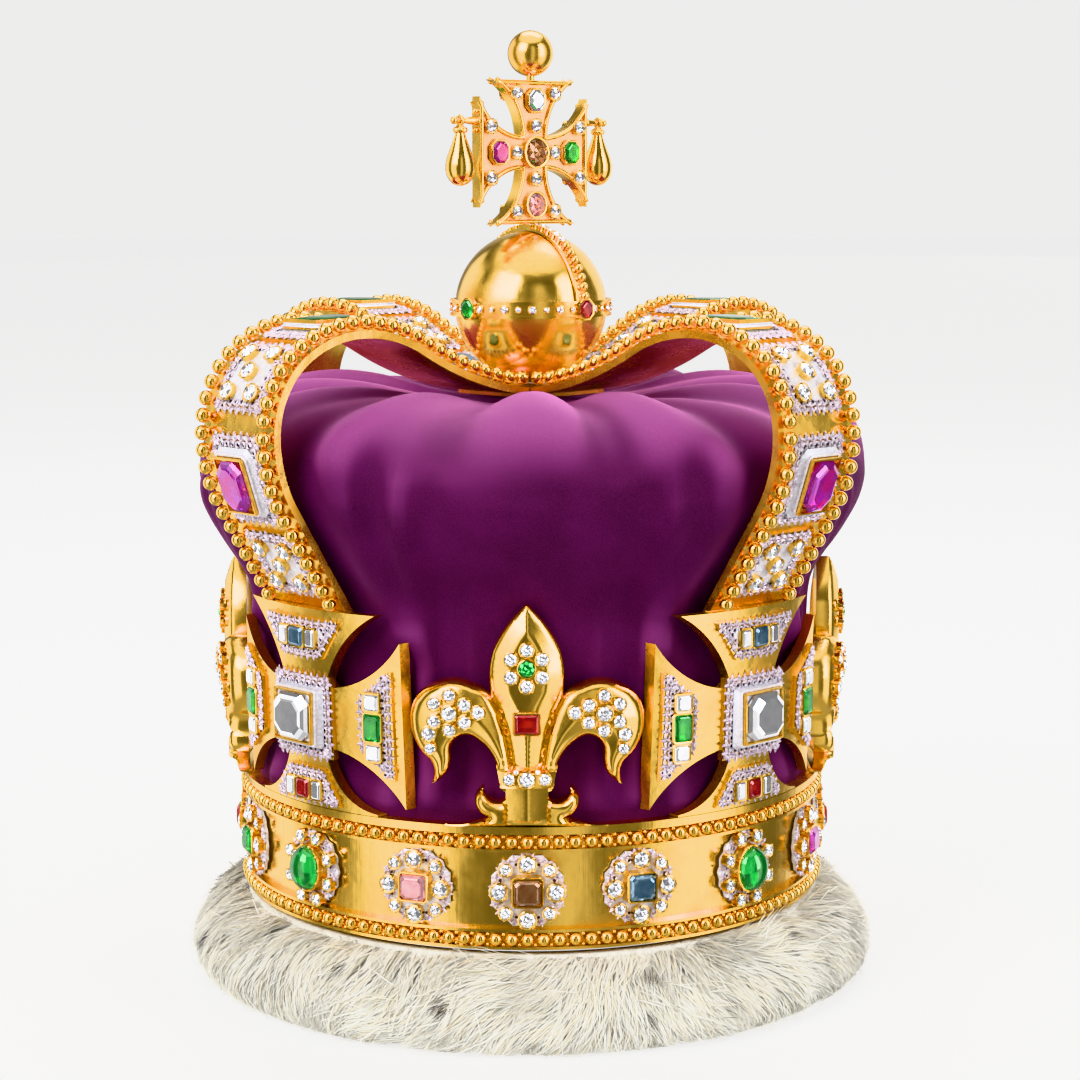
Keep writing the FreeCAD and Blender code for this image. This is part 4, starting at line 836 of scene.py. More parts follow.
def finished(node, material, bevel=0.25):
    """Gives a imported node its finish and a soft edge."""
    target = nodes[node]
    target.data.materials.clear()
    target.data.materials.append(material)
    if bevel:
        soft = target.modifiers.new("soft_edge", "BEVEL")
        soft.width = bevel * MM
        soft.segments = 2
        soft.limit_method = "ANGLE"
        soft.angle_limit = math.radians(40)
        soft.harden_normals = True
        target.data.polygons.foreach_set("use_smooth", [True] * len(target.data.polygons))
        target.data.set_sharp_from_angle(angle=math.radians(35))


finished("circlet", brushed_gold, 0.2)
for row, height in BEAD_ROWS.items():
    beads = [bead.scaled(BEAD_RADIUS).moved(facing(360 * n / BEAD_COUNT, BEAD_CIRCLE, height))
             for n in range(BEAD_COUNT)]
    made = piece(f"circlet_{row}_beads", joined(beads), bead_gold)
    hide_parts(f"circlet_beads_{row}")
    grain = granule.scaled(GRANULE_RADIUS)
    grains = [grain.moved(facing(360 * (n + 0.5) / BEAD_COUNT, GRANULE_OUT, height + side * 1.75))
              for n in range(BEAD_COUNT) for side in (1, -1)]
    piece(f"circlet_{row}_granules", joined(grains), bead_gold)
print("beads:", 2 * BEAD_COUNT, "granules:", 4 * BEAD_COUNT)

# %% [markdown]
# ## The circlet's jewels
# Sixteen jewels stand round the band. Each has a scalloped back of white lace, eight diamonds, and a
# middle stone: an oval cabochon under each cross, and a step-cut stone elsewhere.

# %% Jewels of the circlet
JEWEL_HEIGHT = 51.5
BESIDE_FLEUR = 20.8
BAND_FACE = 102.65
JEWEL_PLATE = 1.3
JEWEL_RADIUS = 12.4
JEWEL_STONES = [
    "brown_stone", "blue_stone", "emerald", "purple_stone", "ruby", "emerald", "emerald", "blue_stone",
    "brown_stone", "pink_stone", "emerald", "purple_stone", "ruby", "emerald", "emerald", "pink_stone",
]


def jewel_azimuths():
    rows = []
    for quarter in range(4):
        middle = 90 * quarter
        rows += [middle, middle + BESIDE_FLEUR, middle + 45, middle + 90 - BESIDE_FLEUR]
    return rows


def scalloped_plate(radius, thick, lobes=16):
    """A thin disc with a wavy edge and a slightly sunken face."""
    around = lobes * 4
    rows = [(1.0, 0.0), (1.0, thick * 0.7), (0.94, thick), (0.62, thick * 0.8), (0.0, thick * 0.8)]
    disc = turned([(radius * share, z) for share, z in rows], around)
    wave = 1 + 0.035 * np.cos(lobes * np.arctan2(disc.points[:, 1], disc.points[:, 0]))
    disc.points[:, 0] *= wave
    disc.points[:, 1] *= wave
    return disc


def ring_outline(radius, count=24):
    return [(radius * math.cos(2 * math.pi * n / count), radius * math.sin(2 * math.pi * n / count))
            for n in range(count)]


STEP_WIDE, STEP_TALL = 9.3, 8.8
OVAL_WIDE, OVAL_TALL = 13.0, 15.6
OVAL_SEAT = 3.7
diamonds, jewel_lace = Setting(), Lace()
oval_metal, step_metal = [], []
for number, azimuth in enumerate(jewel_azimuths(), 1):
    seat = facing(azimuth, BAND_FACE, JEWEL_HEIGHT)
    jewel_lace.plates.append(scalloped_plate(JEWEL_RADIUS, JEWEL_PLATE).moved(seat))
    lace_line = ring_outline(JEWEL_RADIUS + 0.6)
    jewel_lace.edge(lambda x, y, z: shifted(seat, x, y, JEWEL_PLATE + z), lace_line, 3.0, 1.9)
    node = f"circlet_stone_{number:02d}"
    stone_name = JEWEL_STONES[number - 1]
    if number % 4 == 3:
        for n in range(8):
            turn = math.radians(22.5 + 45 * n)
            spot = shifted(seat, 10.6 * math.cos(turn), 11.3 * math.sin(turn), JEWEL_PLATE - 0.2)
            diamonds.add(spot, 2.25, 2.6)
        wall_rows = [(0.99, 0.0), (1.12, 0.25), (1.04, 0.5), (1.08, 0.85), (1.06, 1.0), (0.99, 1.02)]
        wall = turned(wall_rows + [(0.96, 0.9), (0.9, 0.2)], 40)
        wall = wall.scaled(OVAL_WIDE / 2, OVAL_TALL / 2, OVAL_SEAT + 0.9)
        oval_metal.append(wall.moved(seat))
        prong = ball(1).scaled(0.75, 0.75, 0.55)
        for a in np.arange(10) * math.pi / 5:
            x, y = (OVAL_WIDE / 2 + 0.1) * math.cos(a), (OVAL_TALL / 2 + 0.1) * math.sin(a)
            oval_metal.append(prong.moved(shifted(seat, x, y, OVAL_SEAT + 0.95)))
        dome = [(math.cos(a), math.sin(a)) for a in np.radians((0, 12, 25, 38, 50, 62, 72, 82))]
        stone = turned([(0.0, -0.25), (0.8, -0.2), (0.98, -0.08)] + dome + [(0.0, 1.0)], 32)
        stone = stone.scaled(OVAL_WIDE / 2 - 0.1, OVAL_TALL / 2 - 0.1, 5.2)
        stone = stone.moved(shifted(seat, z=OVAL_SEAT + 0.7))
        made = piece(f"cabochon_{number:02d}", stone, STONES[stone_name])
    else:
        for n in range(8):
            turn = math.radians(45 * n)
            big = n % 2 == 0
            out = 9.4 if big else 10.3
            spot = shifted(seat, out * math.cos(turn), out * math.sin(turn), JEWEL_PLATE - 0.2)
            diamonds.add(spot, 2.9 if big else 2.15, 2.6 if big else 2.1)
        wall = box_collet(STEP_WIDE, STEP_TALL, 3.6, 0.7, 0.6)
        step_metal.append(wall.moved(shifted(seat, z=JEWEL_PLATE - 0.3)))
        stone = step_cut(STEP_WIDE, STEP_TALL, 1.7, 2.3, 0.12).moved(shifted(seat, z=JEWEL_PLATE + 3.0))
        made = piece(f"step_stone_{number:02d}", stone, STONES[stone_name], smooth=False)
    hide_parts(node)
diamonds.finish("circlet")
made = jewel_lace.finish("circlet")
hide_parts("circlet_settings")
piece("cabochon_collets", joined(oval_metal), old_gold, sharp=60)
piece("step_stone_collets", joined(step_metal), bead_gold, sharp=40)
print("jewels:", len(jewel_azimuths()), "diamonds:", len(diamonds.stones))

# %% [markdown]
# ## Panels and step-cut stones
# A silver panel is a thin slab that follows the gold beneath it. Its four corners are given on the flat,
# and a surface function lays each point of its grid on the real curve. Step-cut stones sit in box collets
# with a rolled lip.

# %% Slabs on a curved surface
def slab(surface, corners, high, across=10, along=8, low=-0.4):
    """A thin slab over a four-cornered area, laid on a surface."""
    a, b, c, d = [np.array(corner, float) for corner in corners]
    points, faces = [], []
    for lift in (low, high):
        for j in range(along + 1):
            for i in range(across + 1):
                u, v = i / across, j / along
                x, y = (a * (1 - u) + b * u) * (1 - v) + (d * (1 - u) + c * u) * v
                points.append(surface(x, y, lift)[:3, 3])
    row, layer = across + 1, (across + 1) * (along + 1)
    for j in range(along):
        for i in range(across):
            k = j * row + i
            faces.append((layer + k, layer + k + 1, layer + k + row + 1, layer + k + row))
            faces.append((k, k + row, k + row + 1, k + 1))
    rim = [i for i in range(row)] + [j * row + across for j in range(1, along + 1)]
    rim += [along * row + i for i in range(across - 1, -1, -1)] + [j * row for j in range(along - 1, 0, -1)]
    for k, m in zip(rim, rim[1:] + rim[:1]):
        faces.append((k, m, layer + m, layer + k))
    return Shape(points, faces)


def inset_corners(corners, inset):
    """A four-cornered outline moved inward. The corners run anticlockwise."""
    middle = np.mean(np.array(corners, float), axis=0)
    moved = []
    for x, y in corners:
        way = middle - (x, y)
        moved.append((x + math.copysign(min(inset, abs(way[0])), way[0]),
                      y + math.copysign(min(inset, abs(way[1])), way[1])))
    return moved


class StepStones:
    """Collects step-cut stones in box collets, one mesh for the metal and one for each colour."""

    def __init__(self):
        self.metal = []
        self.stones = {}

    def add(self, spot, wide, tall, colour, stand=1.6, corner=0.10):
        short = min(wide, tall)
        self.metal.append(box_collet(wide, tall, stand, 0.5, short * corner, 0.15, 0.35).moved(spot))
        stone = step_cut(wide, tall, short * 0.15, min(stand - 0.35, short * 0.3), corner)
        self.stones.setdefault(colour, []).append(stone.moved(shifted(spot, z=stand - 0.2)))

    def finish(self, name, body="crown"):
        piece(f"{name}_box_collets", joined(self.metal), bead_gold, body, sharp=40)
        for colour, shapes in self.stones.items():
            finish = SMALL_STONES.get(colour) or STONES[colour]
            made = piece(f"{name}_{colour}s", joined(shapes), finish, body, smooth=False)


SMALL_STONES = {"clear_stone": diamond}
trial = slab(lambda x, y, z: shifted(np.eye(4), x, y, z), [(0, 0), (1, 0), (1, 1), (0, 1)], 1)
print("slab faces:", len(trial.faces))

# %% [markdown]
# ## The crosses
# Each cross is one gold plate that leans a little outward. Four silver panels of lace lie on its arms,
# each with a coloured stone between two clear ones, and a stepped silver frame holds the big clear stone
# in the middle.

# %% Crosses
CORNERS = {"front_right": 45, "back_right": 135, "back_left": 225, "front_left": 315}
STRIP_TOP, PLATE_TIP = 73.45, 147.0
PLATE_FOOT_RADIUS, PLATE_TIP_RADIUS = 105.0, 108.0
CROSS_MIDDLE = 105.0
PANEL_RAISE = 1.2
ARM_PANELS = {  # corners of a panel as (across, up from the cross's middle), anticlockwise
    "up": [(-9.8, 19.7), (9.8, 19.7), (18.8, 33.2), (-18.8, 33.2)],
    "right": [(25.0, -9.2), (38.0, -18.4), (38.0, 18.4), (25.0, 9.2)],
    "down": [(-16.2, -30.2), (16.2, -30.2), (9.4, -18.0), (-9.4, -18.0)],
    "left": [(-38.0, -18.4), (-25.0, -9.2), (-25.0, 9.2), (-38.0, 18.4)],
}
ARM_STONES = [  # across, up, width, height, colour
    (0.0, 26.9, 7.4, 6.6, "blue_stone"),
    (-6.9, 26.9, 4.2, 6.0, "clear_stone"),
    (6.9, 26.9, 4.2, 6.0, "clear_stone"),
    (31.4, -0.6, 6.8, 9.4, "emerald"),
    (31.4, 7.9, 5.8, 5.8, "clear_stone"),
    (31.4, -9.1, 5.8, 5.8, "clear_stone"),
    (-31.4, -0.6, 6.8, 9.4, "emerald"),
    (-31.4, 7.9, 5.8, 5.8, "clear_stone"),
    (-31.4, -9.1, 5.8, 5.8, "clear_stone"),
    (0.0, -25.4, 6.4, 6.6, "ruby"),
    (-6.6, -25.4, 4.2, 6.2, "clear_stone"),
    (6.6, -25.4, 4.2, 6.2, "clear_stone"),
]
FRAME_HALF = 14.2
BIG_STONE = (17.3, 15.7)
LACE_INSET = 2.3


def cross_surface(azimuth, raised):
    """Lays (across, up from the middle, lift) on the leaning face of a cross."""
    def surface(x, up, lift=0.0):
        height = CROSS_MIDDLE + up
        share = (height - STRIP_TOP) / (PLATE_TIP - STRIP_TOP)
        radius = PLATE_FOOT_RADIUS + share * (PLATE_TIP_RADIUS - PLATE_FOOT_RADIUS) + raised
        return facing(azimuth + math.degrees(math.asin(x / radius)), radius + lift, height)
    return surface


cross_lace, cross_steps = Lace(), StepStones()
for corner, azimuth in CORNERS.items():
    finished(f"cross_{corner}", plate_gold, 0.35)
    surface = cross_surface(azimuth, PANEL_RAISE)
    for way, outline in ARM_PANELS.items():
        cross_lace.plates.append(slab(surface, inset_corners(outline, LACE_INSET), 0.35))
        cross_lace.edge(surface, inset_corners(outline, LACE_INSET - 1.4), 3.0, 0.7, 1.15, 0.35)
    half = FRAME_HALF
    square = [(-half, -half), (half, -half), (half, half), (-half, half)]
    cross_lace.plates.append(slab(surface, inset_corners(square, 2.6), 0.5))
    cross_lace.edge(surface, inset_corners(square, 1.0), 3.1, 0.5, 1.3, 0.5)
    seat = surface(0, 0)
    cross_lace.plates.append(box_collet(19.5, 17.9, 3.2, 0.7, 0.3, 0.9, 0.1).moved(shifted(seat, z=0.4)))
    under = [(-8.6, -7.8), (8.6, -7.8), (8.6, 7.8), (-8.6, 7.8)]
    cross_lace.plates.append(slab(lambda x, y, lift: shifted(seat, x, y, 3.75 + lift), under, 0.0, 2, 2))
    for x, y, wide, tall, colour in ARM_STONES:
        cross_steps.add(surface(x, y, 0.2), wide, tall, colour)
    big = step_cut(*BIG_STONE, 2.2, 1.3, 0.20).moved(shifted(seat, z=5.15))
    made = piece(f"big_stone_{corner}", big, STONES["clear_stone"], smooth=False)
    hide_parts(f"cross_stone_{corner}")
cross_lace.finish("cross")
cross_steps.finish("cross")
print("cross stones:", len(ARM_STONES) * len(CORNERS))

# %% [markdown]
# ## The fleurs
# A fleur is chased from thick sheet: a pointed petal, two leaves that roll over, a collar and two horns.
# Its outline is a chain of arcs. The face is a fine triangle mesh inside that outline, and each point
# rises with its distance from the nearest edge, as a chaser raises a leaf. The lifted face is joined to a
# flat back by a wall.

# %% The fleur's outline
FLEUR_FOOT = (27.0, 73.45)
FLEUR_ARCS = [  # a point on the way, the arc's end
    ((27.0, 73.7), (27.0, 74.0)),
    ((18.9, 74.6), (12.6, 77.3)),
    ((16.9, 81.0), (14.0, 87.5)),
    ((11.4, 82.8), (7.3, 83.2)),
    ((6.9, 84.4), (7.0, 85.8)),
    ((8.3, 86.2), (8.7, 87.6)),
    ((9.2, 91.0), (9.9, 94.2)),
    ((13.4, 100.4), (18.5, 104.1)),
    ((22.3, 103.4), (24.7, 98.3)),
    ((26.7, 90.7), (31.4, 87.4)),
    ((30.4, 91.8), (32.0, 95.8)),
    ((36.4, 101.1), (38.1, 107.6)),
    ((36.0, 116.2), (30.5, 120.6)),
    ((24.2, 122.6), (17.5, 121.1)),
    ((13.9, 119.6), (11.5, 117.3)),
    ((12.2, 125.4), (10.9, 132.6)),
    ((6.9, 139.8), (0.0, 147.6)),
]
OUTLINE_STEP = 0.9


def arc_points(start, through, end, step):
    """Points along an arc, without its last one. A nearly straight arc comes out as a line."""
    a, b, c = [np.array(p, float) for p in (start, through, end)]
    cross = (b[0] - a[0]) * (c[1] - a[1]) - (b[1] - a[1]) * (c[0] - a[0])
    chord = np.linalg.norm(c - a)
    if abs(cross) < 1e-3 * chord * chord:
        many = max(1, round(chord / step))
        return [tuple(a + (c - a) * n / many) for n in range(many)]
    square = [p @ p for p in (a, b, c)]
    centre = np.array((
        square[0] * (b[1] - c[1]) + square[1] * (c[1] - a[1]) + square[2] * (a[1] - b[1]),
        square[0] * (c[0] - b[0]) + square[1] * (a[0] - c[0]) + square[2] * (b[0] - a[0]))) / (2 * cross)
    radius = np.linalg.norm(a - centre)
    first = math.atan2(*(a - centre)[::-1])
    sweep = (math.atan2(*(c - centre)[::-1]) - first) % (2 * math.pi)
    if cross < 0:
        sweep -= 2 * math.pi
    many = max(2, round(abs(sweep) * radius / step))
    turns = [first + sweep * n / many for n in range(many)]
    return [tuple(centre + radius * np.array((math.cos(turn), math.sin(turn)))) for turn in turns]


def fleur_half():
    points, here = [], FLEUR_FOOT
    for through, end in FLEUR_ARCS:
        points += arc_points(here, through, end, OUTLINE_STEP)
        here = end
    return points + [here]


half = fleur_half()
fleur_outline = half + [(-x, y) for x, y in reversed(half[:-1])]
print("outline points:", len(fleur_outline))

# %% [markdown]
# The rise of the face needs only distances: from the outline, and from the two curves where the petal
# meets the leaves. Near an edge it climbs steeply and then levels out, which makes the rounded rim and
# the soft facets of the photograph.

# %% The fleur's relief
PETAL_EDGE = [(5.0, 94.4), (5.6, 99.0), (6.9, 106.0), (9.0, 112.4), (11.5, 117.3)]
COLLAR = (87.4, 94.6)
FLEUR_BASE = 107.2
FLEUR_BACK = 103.35
GRID = 1.0


def distances(points, line):
    """Distance of each point from a line through several corners."""
    points, line = np.array(points, float), np.array(line, float)
    best = np.full(len(points), 1e9)
    for a, b in zip(line, line[1:]):
        run = b - a
        share = np.clip(((points - a) @ run) / (run @ run), 0, 1)
        best = np.minimum(best, np.linalg.norm(points - a - share[:, None] * run, axis=1))
    return best


def inside(points, outline):
    """Which points lie inside a closed outline."""
    x, y = np.array(points, float).T
    found = np.zeros(len(x), bool)
    for (ax, ay), (bx, by) in zip(outline, outline[1:] + outline[:1]):
        if ay == by:
            continue
        crosses = (ay > y) != (by > y)
        found ^= crosses & (x < (bx - ax) * (y - ay) / (by - ay) + ax)
    return found


def filled(seeds, outline):
    """Triangles between points, kept inside an outline. The seeds begin with the outline's own points."""
    count = len(outline)
    edges = [(n, (n + 1) % count) for n in range(count)]
    flat, _, triangles, _, _, _ = delaunay_2d_cdt(seeds, edges, [], 0, 1e-4)
    flat = np.array([tuple(p) for p in flat])
    middles = np.array([flat[list(t)].mean(axis=0) for t in triangles])
    return flat, [tuple(t) for t, good in zip(triangles, inside(middles, outline)) if good]


def swell(distance, width, high):
    """A quarter-round climb over a width, then level."""
    share = np.clip(distance / width, 0, 1)
    return high * np.sqrt(1 - (1 - share) ** 2)


def fleur_rise(points):
    """How far each point of the face stands out of the base radius."""
    flat = np.array(points, float)
    x, y = np.abs(flat[:, 0]), flat[:, 1]
    edge = distances(flat, fleur_outline + fleur_outline[:1])
    seam = distances(np.stack([x, y], 1), PETAL_EDGE)
    side = np.interp(y, [p[1] for p in PETAL_EDGE], [p[0] for p in PETAL_EDGE])
    over_curl = (y > PETAL_EDGE[-1][1]) & (x < 12.4) & (y > 117.3 + (x - 11.5) * 0.4)
    petal = (y > COLLAR[1]) & ((x < side) | over_curl)
    leaf = (y > COLLAR[1]) & ~petal | (x > 12.5) & (y > 86.5)
    near = np.minimum(edge, seam)
    rise = swell(edge, 1.0, 0.9)
    rise = np.where(petal, swell(near, 1.2, 1.0) + np.clip(near / 6.0, 0, 1) * 3.0 + 0.5, rise)
    rise = np.where(leaf, swell(near, 2.6, 3.2) + np.clip(near / 6.5, 0, 1) * 2.0 + 0.5, rise)
    horn = (y > 75.5) & (y < COLLAR[0] + 0.4) & (x > 6.5) & (x < 18)
    rise = np.where(horn, swell(edge, 3.2, 3.4), rise)
    stem = (y <= COLLAR[0]) & (x < 7.2)
    rise = np.where(stem, 1.0 + 1.6 * (1 - x / 7.2), rise)
    foot = (y < 76.2) & ~horn
    rise = np.where(foot, np.minimum(rise, 1.0 - 0.9 * (76.2 - y) / 2.8), rise)
    collar = (y > COLLAR[0]) & (y < COLLAR[1]) & (x < 11)
    band = np.clip(np.minimum(y - COLLAR[0], COLLAR[1] - y) / 1.3, 0, 1)
    rim = np.sin(np.pi * band) * 0.9
    rounded = 1.6 * (1 - (x / 10.5) ** 2)
    return np.where(collar, 2.4 + rounded + rim * (band < 1), rise)


def fleur_place(x, y, lift=0.0):
    """A place on the front fleur's face."""
    radius = FLEUR_BASE + float(fleur_rise([(x, y)])[0]) + lift
    return facing(math.degrees(math.asin(x / radius)), radius, y)


def fleur_shape():
    field = []
    for n in range(-46, 47):
        for m in range(-2, 90):
            field.append((n * GRID + (m % 2) * GRID / 2, 73.0 + m * GRID * 0.866))
    field = np.array(field)
    field = field[inside(field, fleur_outline)]
    field = field[distances(field, fleur_outline + fleur_outline[:1]) > 0.75]
    ring = np.array(fleur_outline)
    ahead, behind = np.roll(ring, -1, axis=0), np.roll(ring, 1, axis=0)
    run = ahead - behind
    inward = np.stack([-run[:, 1], run[:, 0]], 1) / np.linalg.norm(run, axis=1)[:, None]
    fringe = ring + inward * 0.38
    fringe = fringe[inside(fringe, fleur_outline)]
    seeds = [Vector(p) for p in fleur_outline] + [Vector(p) for p in fringe] + [Vector(p) for p in field]
    for side in (1, -1):
        seeds += [Vector((side * x, y)) for x, y in PETAL_EDGE[:-1]]
    flat, kept = filled(seeds, fleur_outline)
    radii = FLEUR_BASE + fleur_rise(flat)
    front = np.stack([flat[:, 0], -np.sqrt(radii ** 2 - flat[:, 0] ** 2), flat[:, 1]], 1)
    back = np.stack([flat[:, 0], -np.sqrt(FLEUR_BACK ** 2 - flat[:, 0] ** 2), flat[:, 1]], 1)
    many = len(flat)
    faces = kept + [tuple(i + many for i in reversed(t)) for t in kept]
    seen = {}
    for t in kept:
        for a, b in zip(t, t[1:] + t[:1]):
            seen[(a, b)] = True
    faces += [(b, a, a + many, b + many) for a, b in seen if (b, a) not in seen]
    return Shape(np.concatenate([front, back]), faces)


fleur = fleur_shape()
print("fleur faces:", len(fleur.faces))

# %% Stones of the fleurs
FLOWERS = [  # across, up, colour of the middle, radius of the ring
    (0.0, 127.4, "green", 5.9),
    (24.9, 112.4, "clear", 5.7),
    (-24.9, 112.4, "clear", 5.7),
]
LOOSE_STONES = [(15.6, 112.9, 2.3), (31.7, 105.3, 2.5), (31.2, 100.3, 2.0)]
COLLAR_STONES = [(0.0, 90.6, 2.7), (5.8, 90.6, 2.1), (-5.8, 90.6, 2.1), (3.5, 93.1, 0.9), (-3.5, 93.1, 0.9)]
QUARTERS = {"front": 0, "right": 90, "back": 180, "left": 270}
RED_STONE = (8.0, 6.6)
RED_HEIGHT = 109.2

for side, azimuth in QUARTERS.items():
    turn = about_axis(azimuth)
    made = piece(f"fleur_{side}_relief", fleur.moved(turn), polished_gold, sharp=38)
    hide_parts(f"fleur_{side}")
    flowers, greens = Setting(), []
    for x, y, colour, reach in FLOWERS:
        for n in range(6):
            angle = math.radians(30 + 60 * n)
            spot = fleur_place(x + reach * math.cos(angle), y + reach * math.sin(angle))
            flowers.add(turn @ spot, 2.3, 1.3, 0.8)
        middle = turn @ fleur_place(x, y)
        if colour == "green":
            greens.append(gem.scaled(2.6, 2.6, 2.4).moved(shifted(middle, z=1.5)))
            flowers.metal.append(collet.scaled(2.8, 2.8, 2.4).moved(shifted(middle, z=-0.8)))
        else:
            flowers.add(middle, 2.7, 1.7, 0.8)
    for x, y, radius in LOOSE_STONES:
        for way in (1, -1):
            flowers.add(turn @ fleur_place(way * x, y), radius, 1.1, 0.8)
    for x, y, radius in COLLAR_STONES:
        flowers.add(turn @ fleur_place(x, y), radius, 0.8, 0.8)
    flowers.finish(f"fleur_{side}")
    piece(f"fleur_{side}_green", joined(greens), small_green, smooth=False)
    reds = StepStones()
    reds.add(turn @ fleur_place(0.0, RED_HEIGHT, -0.3), *RED_STONE, "ruby", 1.7, 0.04)
    piece(f"fleur_{side}_red_collet", joined(reds.metal), polished_gold, sharp=40)
    made = piece(f"fleur_{side}_red", joined(reds.stones["ruby"]), STONES["ruby"], smooth=False)
    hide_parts(f"fleur_stone_{side}")
print("fleur stones a side:", 6 * 3 + 3 + 6 + 5 + 1)

# %% [markdown]
# ## The arches
# Each half arch rises behind a cross, turns over the shoulder and dips to the orb. Its route is a walk of
# one straight and five bends, so a point at any length along it follows from adding bends up. Six silver
# panels lie on the plate: fives of diamonds, the octagonal stone, the flat stone on the shoulder, and a
# last blue one.

# %% The arch's route
ARCH_FOOT = (100.0, 138.4)  # radius and height
ARCH_FOOT_SLOPE = 57.7
ARCH_WALK = [(45.4, 0.0), (45.0, 32.3), (30.0, 58.0), (43.0, 32.0), (55.0, 29.0), (139.6, -21.2)]
ARCH_HALF_PLATE = 1.3
ARCH_PANEL_FACE = ARCH_HALF_PLATE + 1.0


def arch_spot(length, off=0.0):
    """Radius, height and slope at a length along the arch, moved outward by off."""
    (radius, height), slope, left = ARCH_FOOT, ARCH_FOOT_SLOPE, length
    for reach, turn in ARCH_WALK:
        whole = reach * math.radians(abs(turn)) if turn else reach
        share = min(1.0, left / whole)
        if turn == 0:
            radius += reach * share * math.cos(math.radians(slope))
            height += reach * share * math.sin(math.radians(slope))
        else:
            bend = math.copysign(reach, turn)
            start, stop = math.radians(slope), math.radians(slope + turn * share)
            radius += bend * (math.sin(stop) - math.sin(start))
            height -= bend * (math.cos(stop) - math.cos(start))
            slope += turn * share
        left -= whole
        if left <= 0:
            break
    lean = math.radians(slope)
    return radius + off * math.sin(lean), height - off * math.cos(lean), slope


ARCH_LENGTH = sum(reach * math.radians(abs(turn)) if turn else reach for reach, turn in ARCH_WALK)
print("half arch:", round(ARCH_LENGTH, 1), "mm")

# %% Panels and stones of the arches
ARCH_PANELS = {  # from and to, as lengths along the arch
    "lower five": (11.0, 36.5),
    "octagon": (40.5, 71.5),
    "upper five": (77.5, 103.5),
    "shoulder": (107.0, 142.0),
    "inner five": (146.0, 172.0),
    "last": (176.0, 200.0),
}
ARCH_PANEL_HALF = 12.8
OCTAGON_AT, SHOULDER_AT, LAST_AT = 56.0, 124.5, 187.0
FIVE = [(0.0, 0.0), (-6.4, -6.8), (6.4, -6.8), (-6.4, 6.8), (6.4, 6.8)]

arch_lace, arch_diamonds, arch_steps = Lace(), Setting(), StepStones()
for corner, azimuth in CORNERS.items():
    finished(f"arch_{corner}", plate_gold, 0.3)

    def surface(x, length, lift=0.0):
        radius, height, slope = arch_spot(length, ARCH_PANEL_FACE + lift)
        return shifted(facing(azimuth, radius, height, slope), x)

    for name, (first, last) in ARCH_PANELS.items():
        across = ARCH_PANEL_HALF
        outline = [(-across, first), (across, first), (across, last), (-across, last)]
        arch_lace.plates.append(slab(surface, inset_corners(outline, 2.6), 0.4, 6, 14))
        arch_lace.edge(surface, inset_corners(outline, 1.2), 3.4, 0.6, 1.4, 0.4)
        middle = (first + last) / 2
        if "five" in name:
            for x, along in FIVE:
                arch_diamonds.add(surface(x, middle + along), 3.0, 2.4, 0.2)
    frames = ((OCTAGON_AT, 15.2, 20.2, 2.6, 1.3), (SHOULDER_AT, 17.0, 23.0, 1.2, 1.0))
    for at, wide, long, tall, flare in frames:
        arch_lace.plates.append(box_collet(wide, long, tall, 0.7, 1.2, flare, 0.1).moved(surface(0, at, 0.2)))
    octagon = step_cut(12.8, 17.8, 1.9, 1.2, 0.26).moved(surface(0, OCTAGON_AT, 4.2))
    made = piece(f"octagon_stone_{corner}", octagon, STONES["purple_stone"], smooth=False)
    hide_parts(f"arch_stone_{corner}")
    flat = step_cut(14.8, 20.8, 0.7, 0.9, 0.24).moved(surface(0, SHOULDER_AT, 2.5))
    made = piece(f"flat_stone_{corner}", flat, STONES["emerald"], smooth=False)
    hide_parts(f"shoulder_stone_{corner}")
    arch_steps.add(surface(0, LAST_AT), 9.0, 11.0, "blue_stone", 2.2, 0.2)
arch_lace.finish("arch")
arch_diamonds.finish("arch")
arch_steps.finish("arch")
finished("arch_crossing", plate_gold, 0.3)
print("lace panels:", len(ARCH_PANELS) * len(CORNERS))

# %% [markdown]
# ## Beads along the arches
# Four rows of beads run up one arch, round the corner before the orb and down the next. The row's line is
# worked out first, and the beads are then spread evenly along it.

# %% Bead rows of the arches
ARCH_ROW = 16.0
ARCH_BEAD = 2.5
BEAD_LIFT = ARCH_HALF_PLATE + ARCH_BEAD + 0.2
BEAD_PITCH = 5.8
ROW_START = 9.7
CORNER_BEND = 8.0


def bead_route():
    rise = []
    for length in np.linspace(ROW_START, ARCH_LENGTH, 801):
        radius, height, _ = arch_spot(length, BEAD_LIFT)
        if radius < ARCH_ROW + CORNER_BEND:
            break
        rise.append(((radius - ARCH_ROW) * math.sqrt(0.5), -(radius + ARCH_ROW) * math.sqrt(0.5), height))
    middle = -(ARCH_ROW + CORNER_BEND) * math.sqrt(2)
    bend = [(CORNER_BEND * math.sin(a), middle + CORNER_BEND * math.cos(a), rise[-1][2])
            for a in np.radians(np.linspace(45, -45, 21)[1:-1])]
    return np.array(rise + bend + [(-x, y, z) for x, y, z in reversed(rise)])


def spread(route, pitch):
    """Points evenly along a route, about a pitch apart."""
    steps = np.linalg.norm(np.diff(route, axis=0), axis=1)
    lengths = np.concatenate([[0], np.cumsum(steps)])
    at = np.linspace(0, lengths[-1], round(lengths[-1] / pitch) + 1)
    return np.stack([np.interp(at, lengths, route[:, n]) for n in range(3)], 1)


row_beads = joined([bead.scaled(ARCH_BEAD).moved(place(spot, (1, 0, 0), (0, 1, 0)))
                    for spot in spread(bead_route(), BEAD_PITCH)])
for side, azimuth in QUARTERS.items():
    made = piece(f"arch_row_{side}", row_beads.moved(about_axis(azimuth)), bead_gold)
    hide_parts(f"arch_beads_{side}")
print("row faces:", len(row_beads.faces))

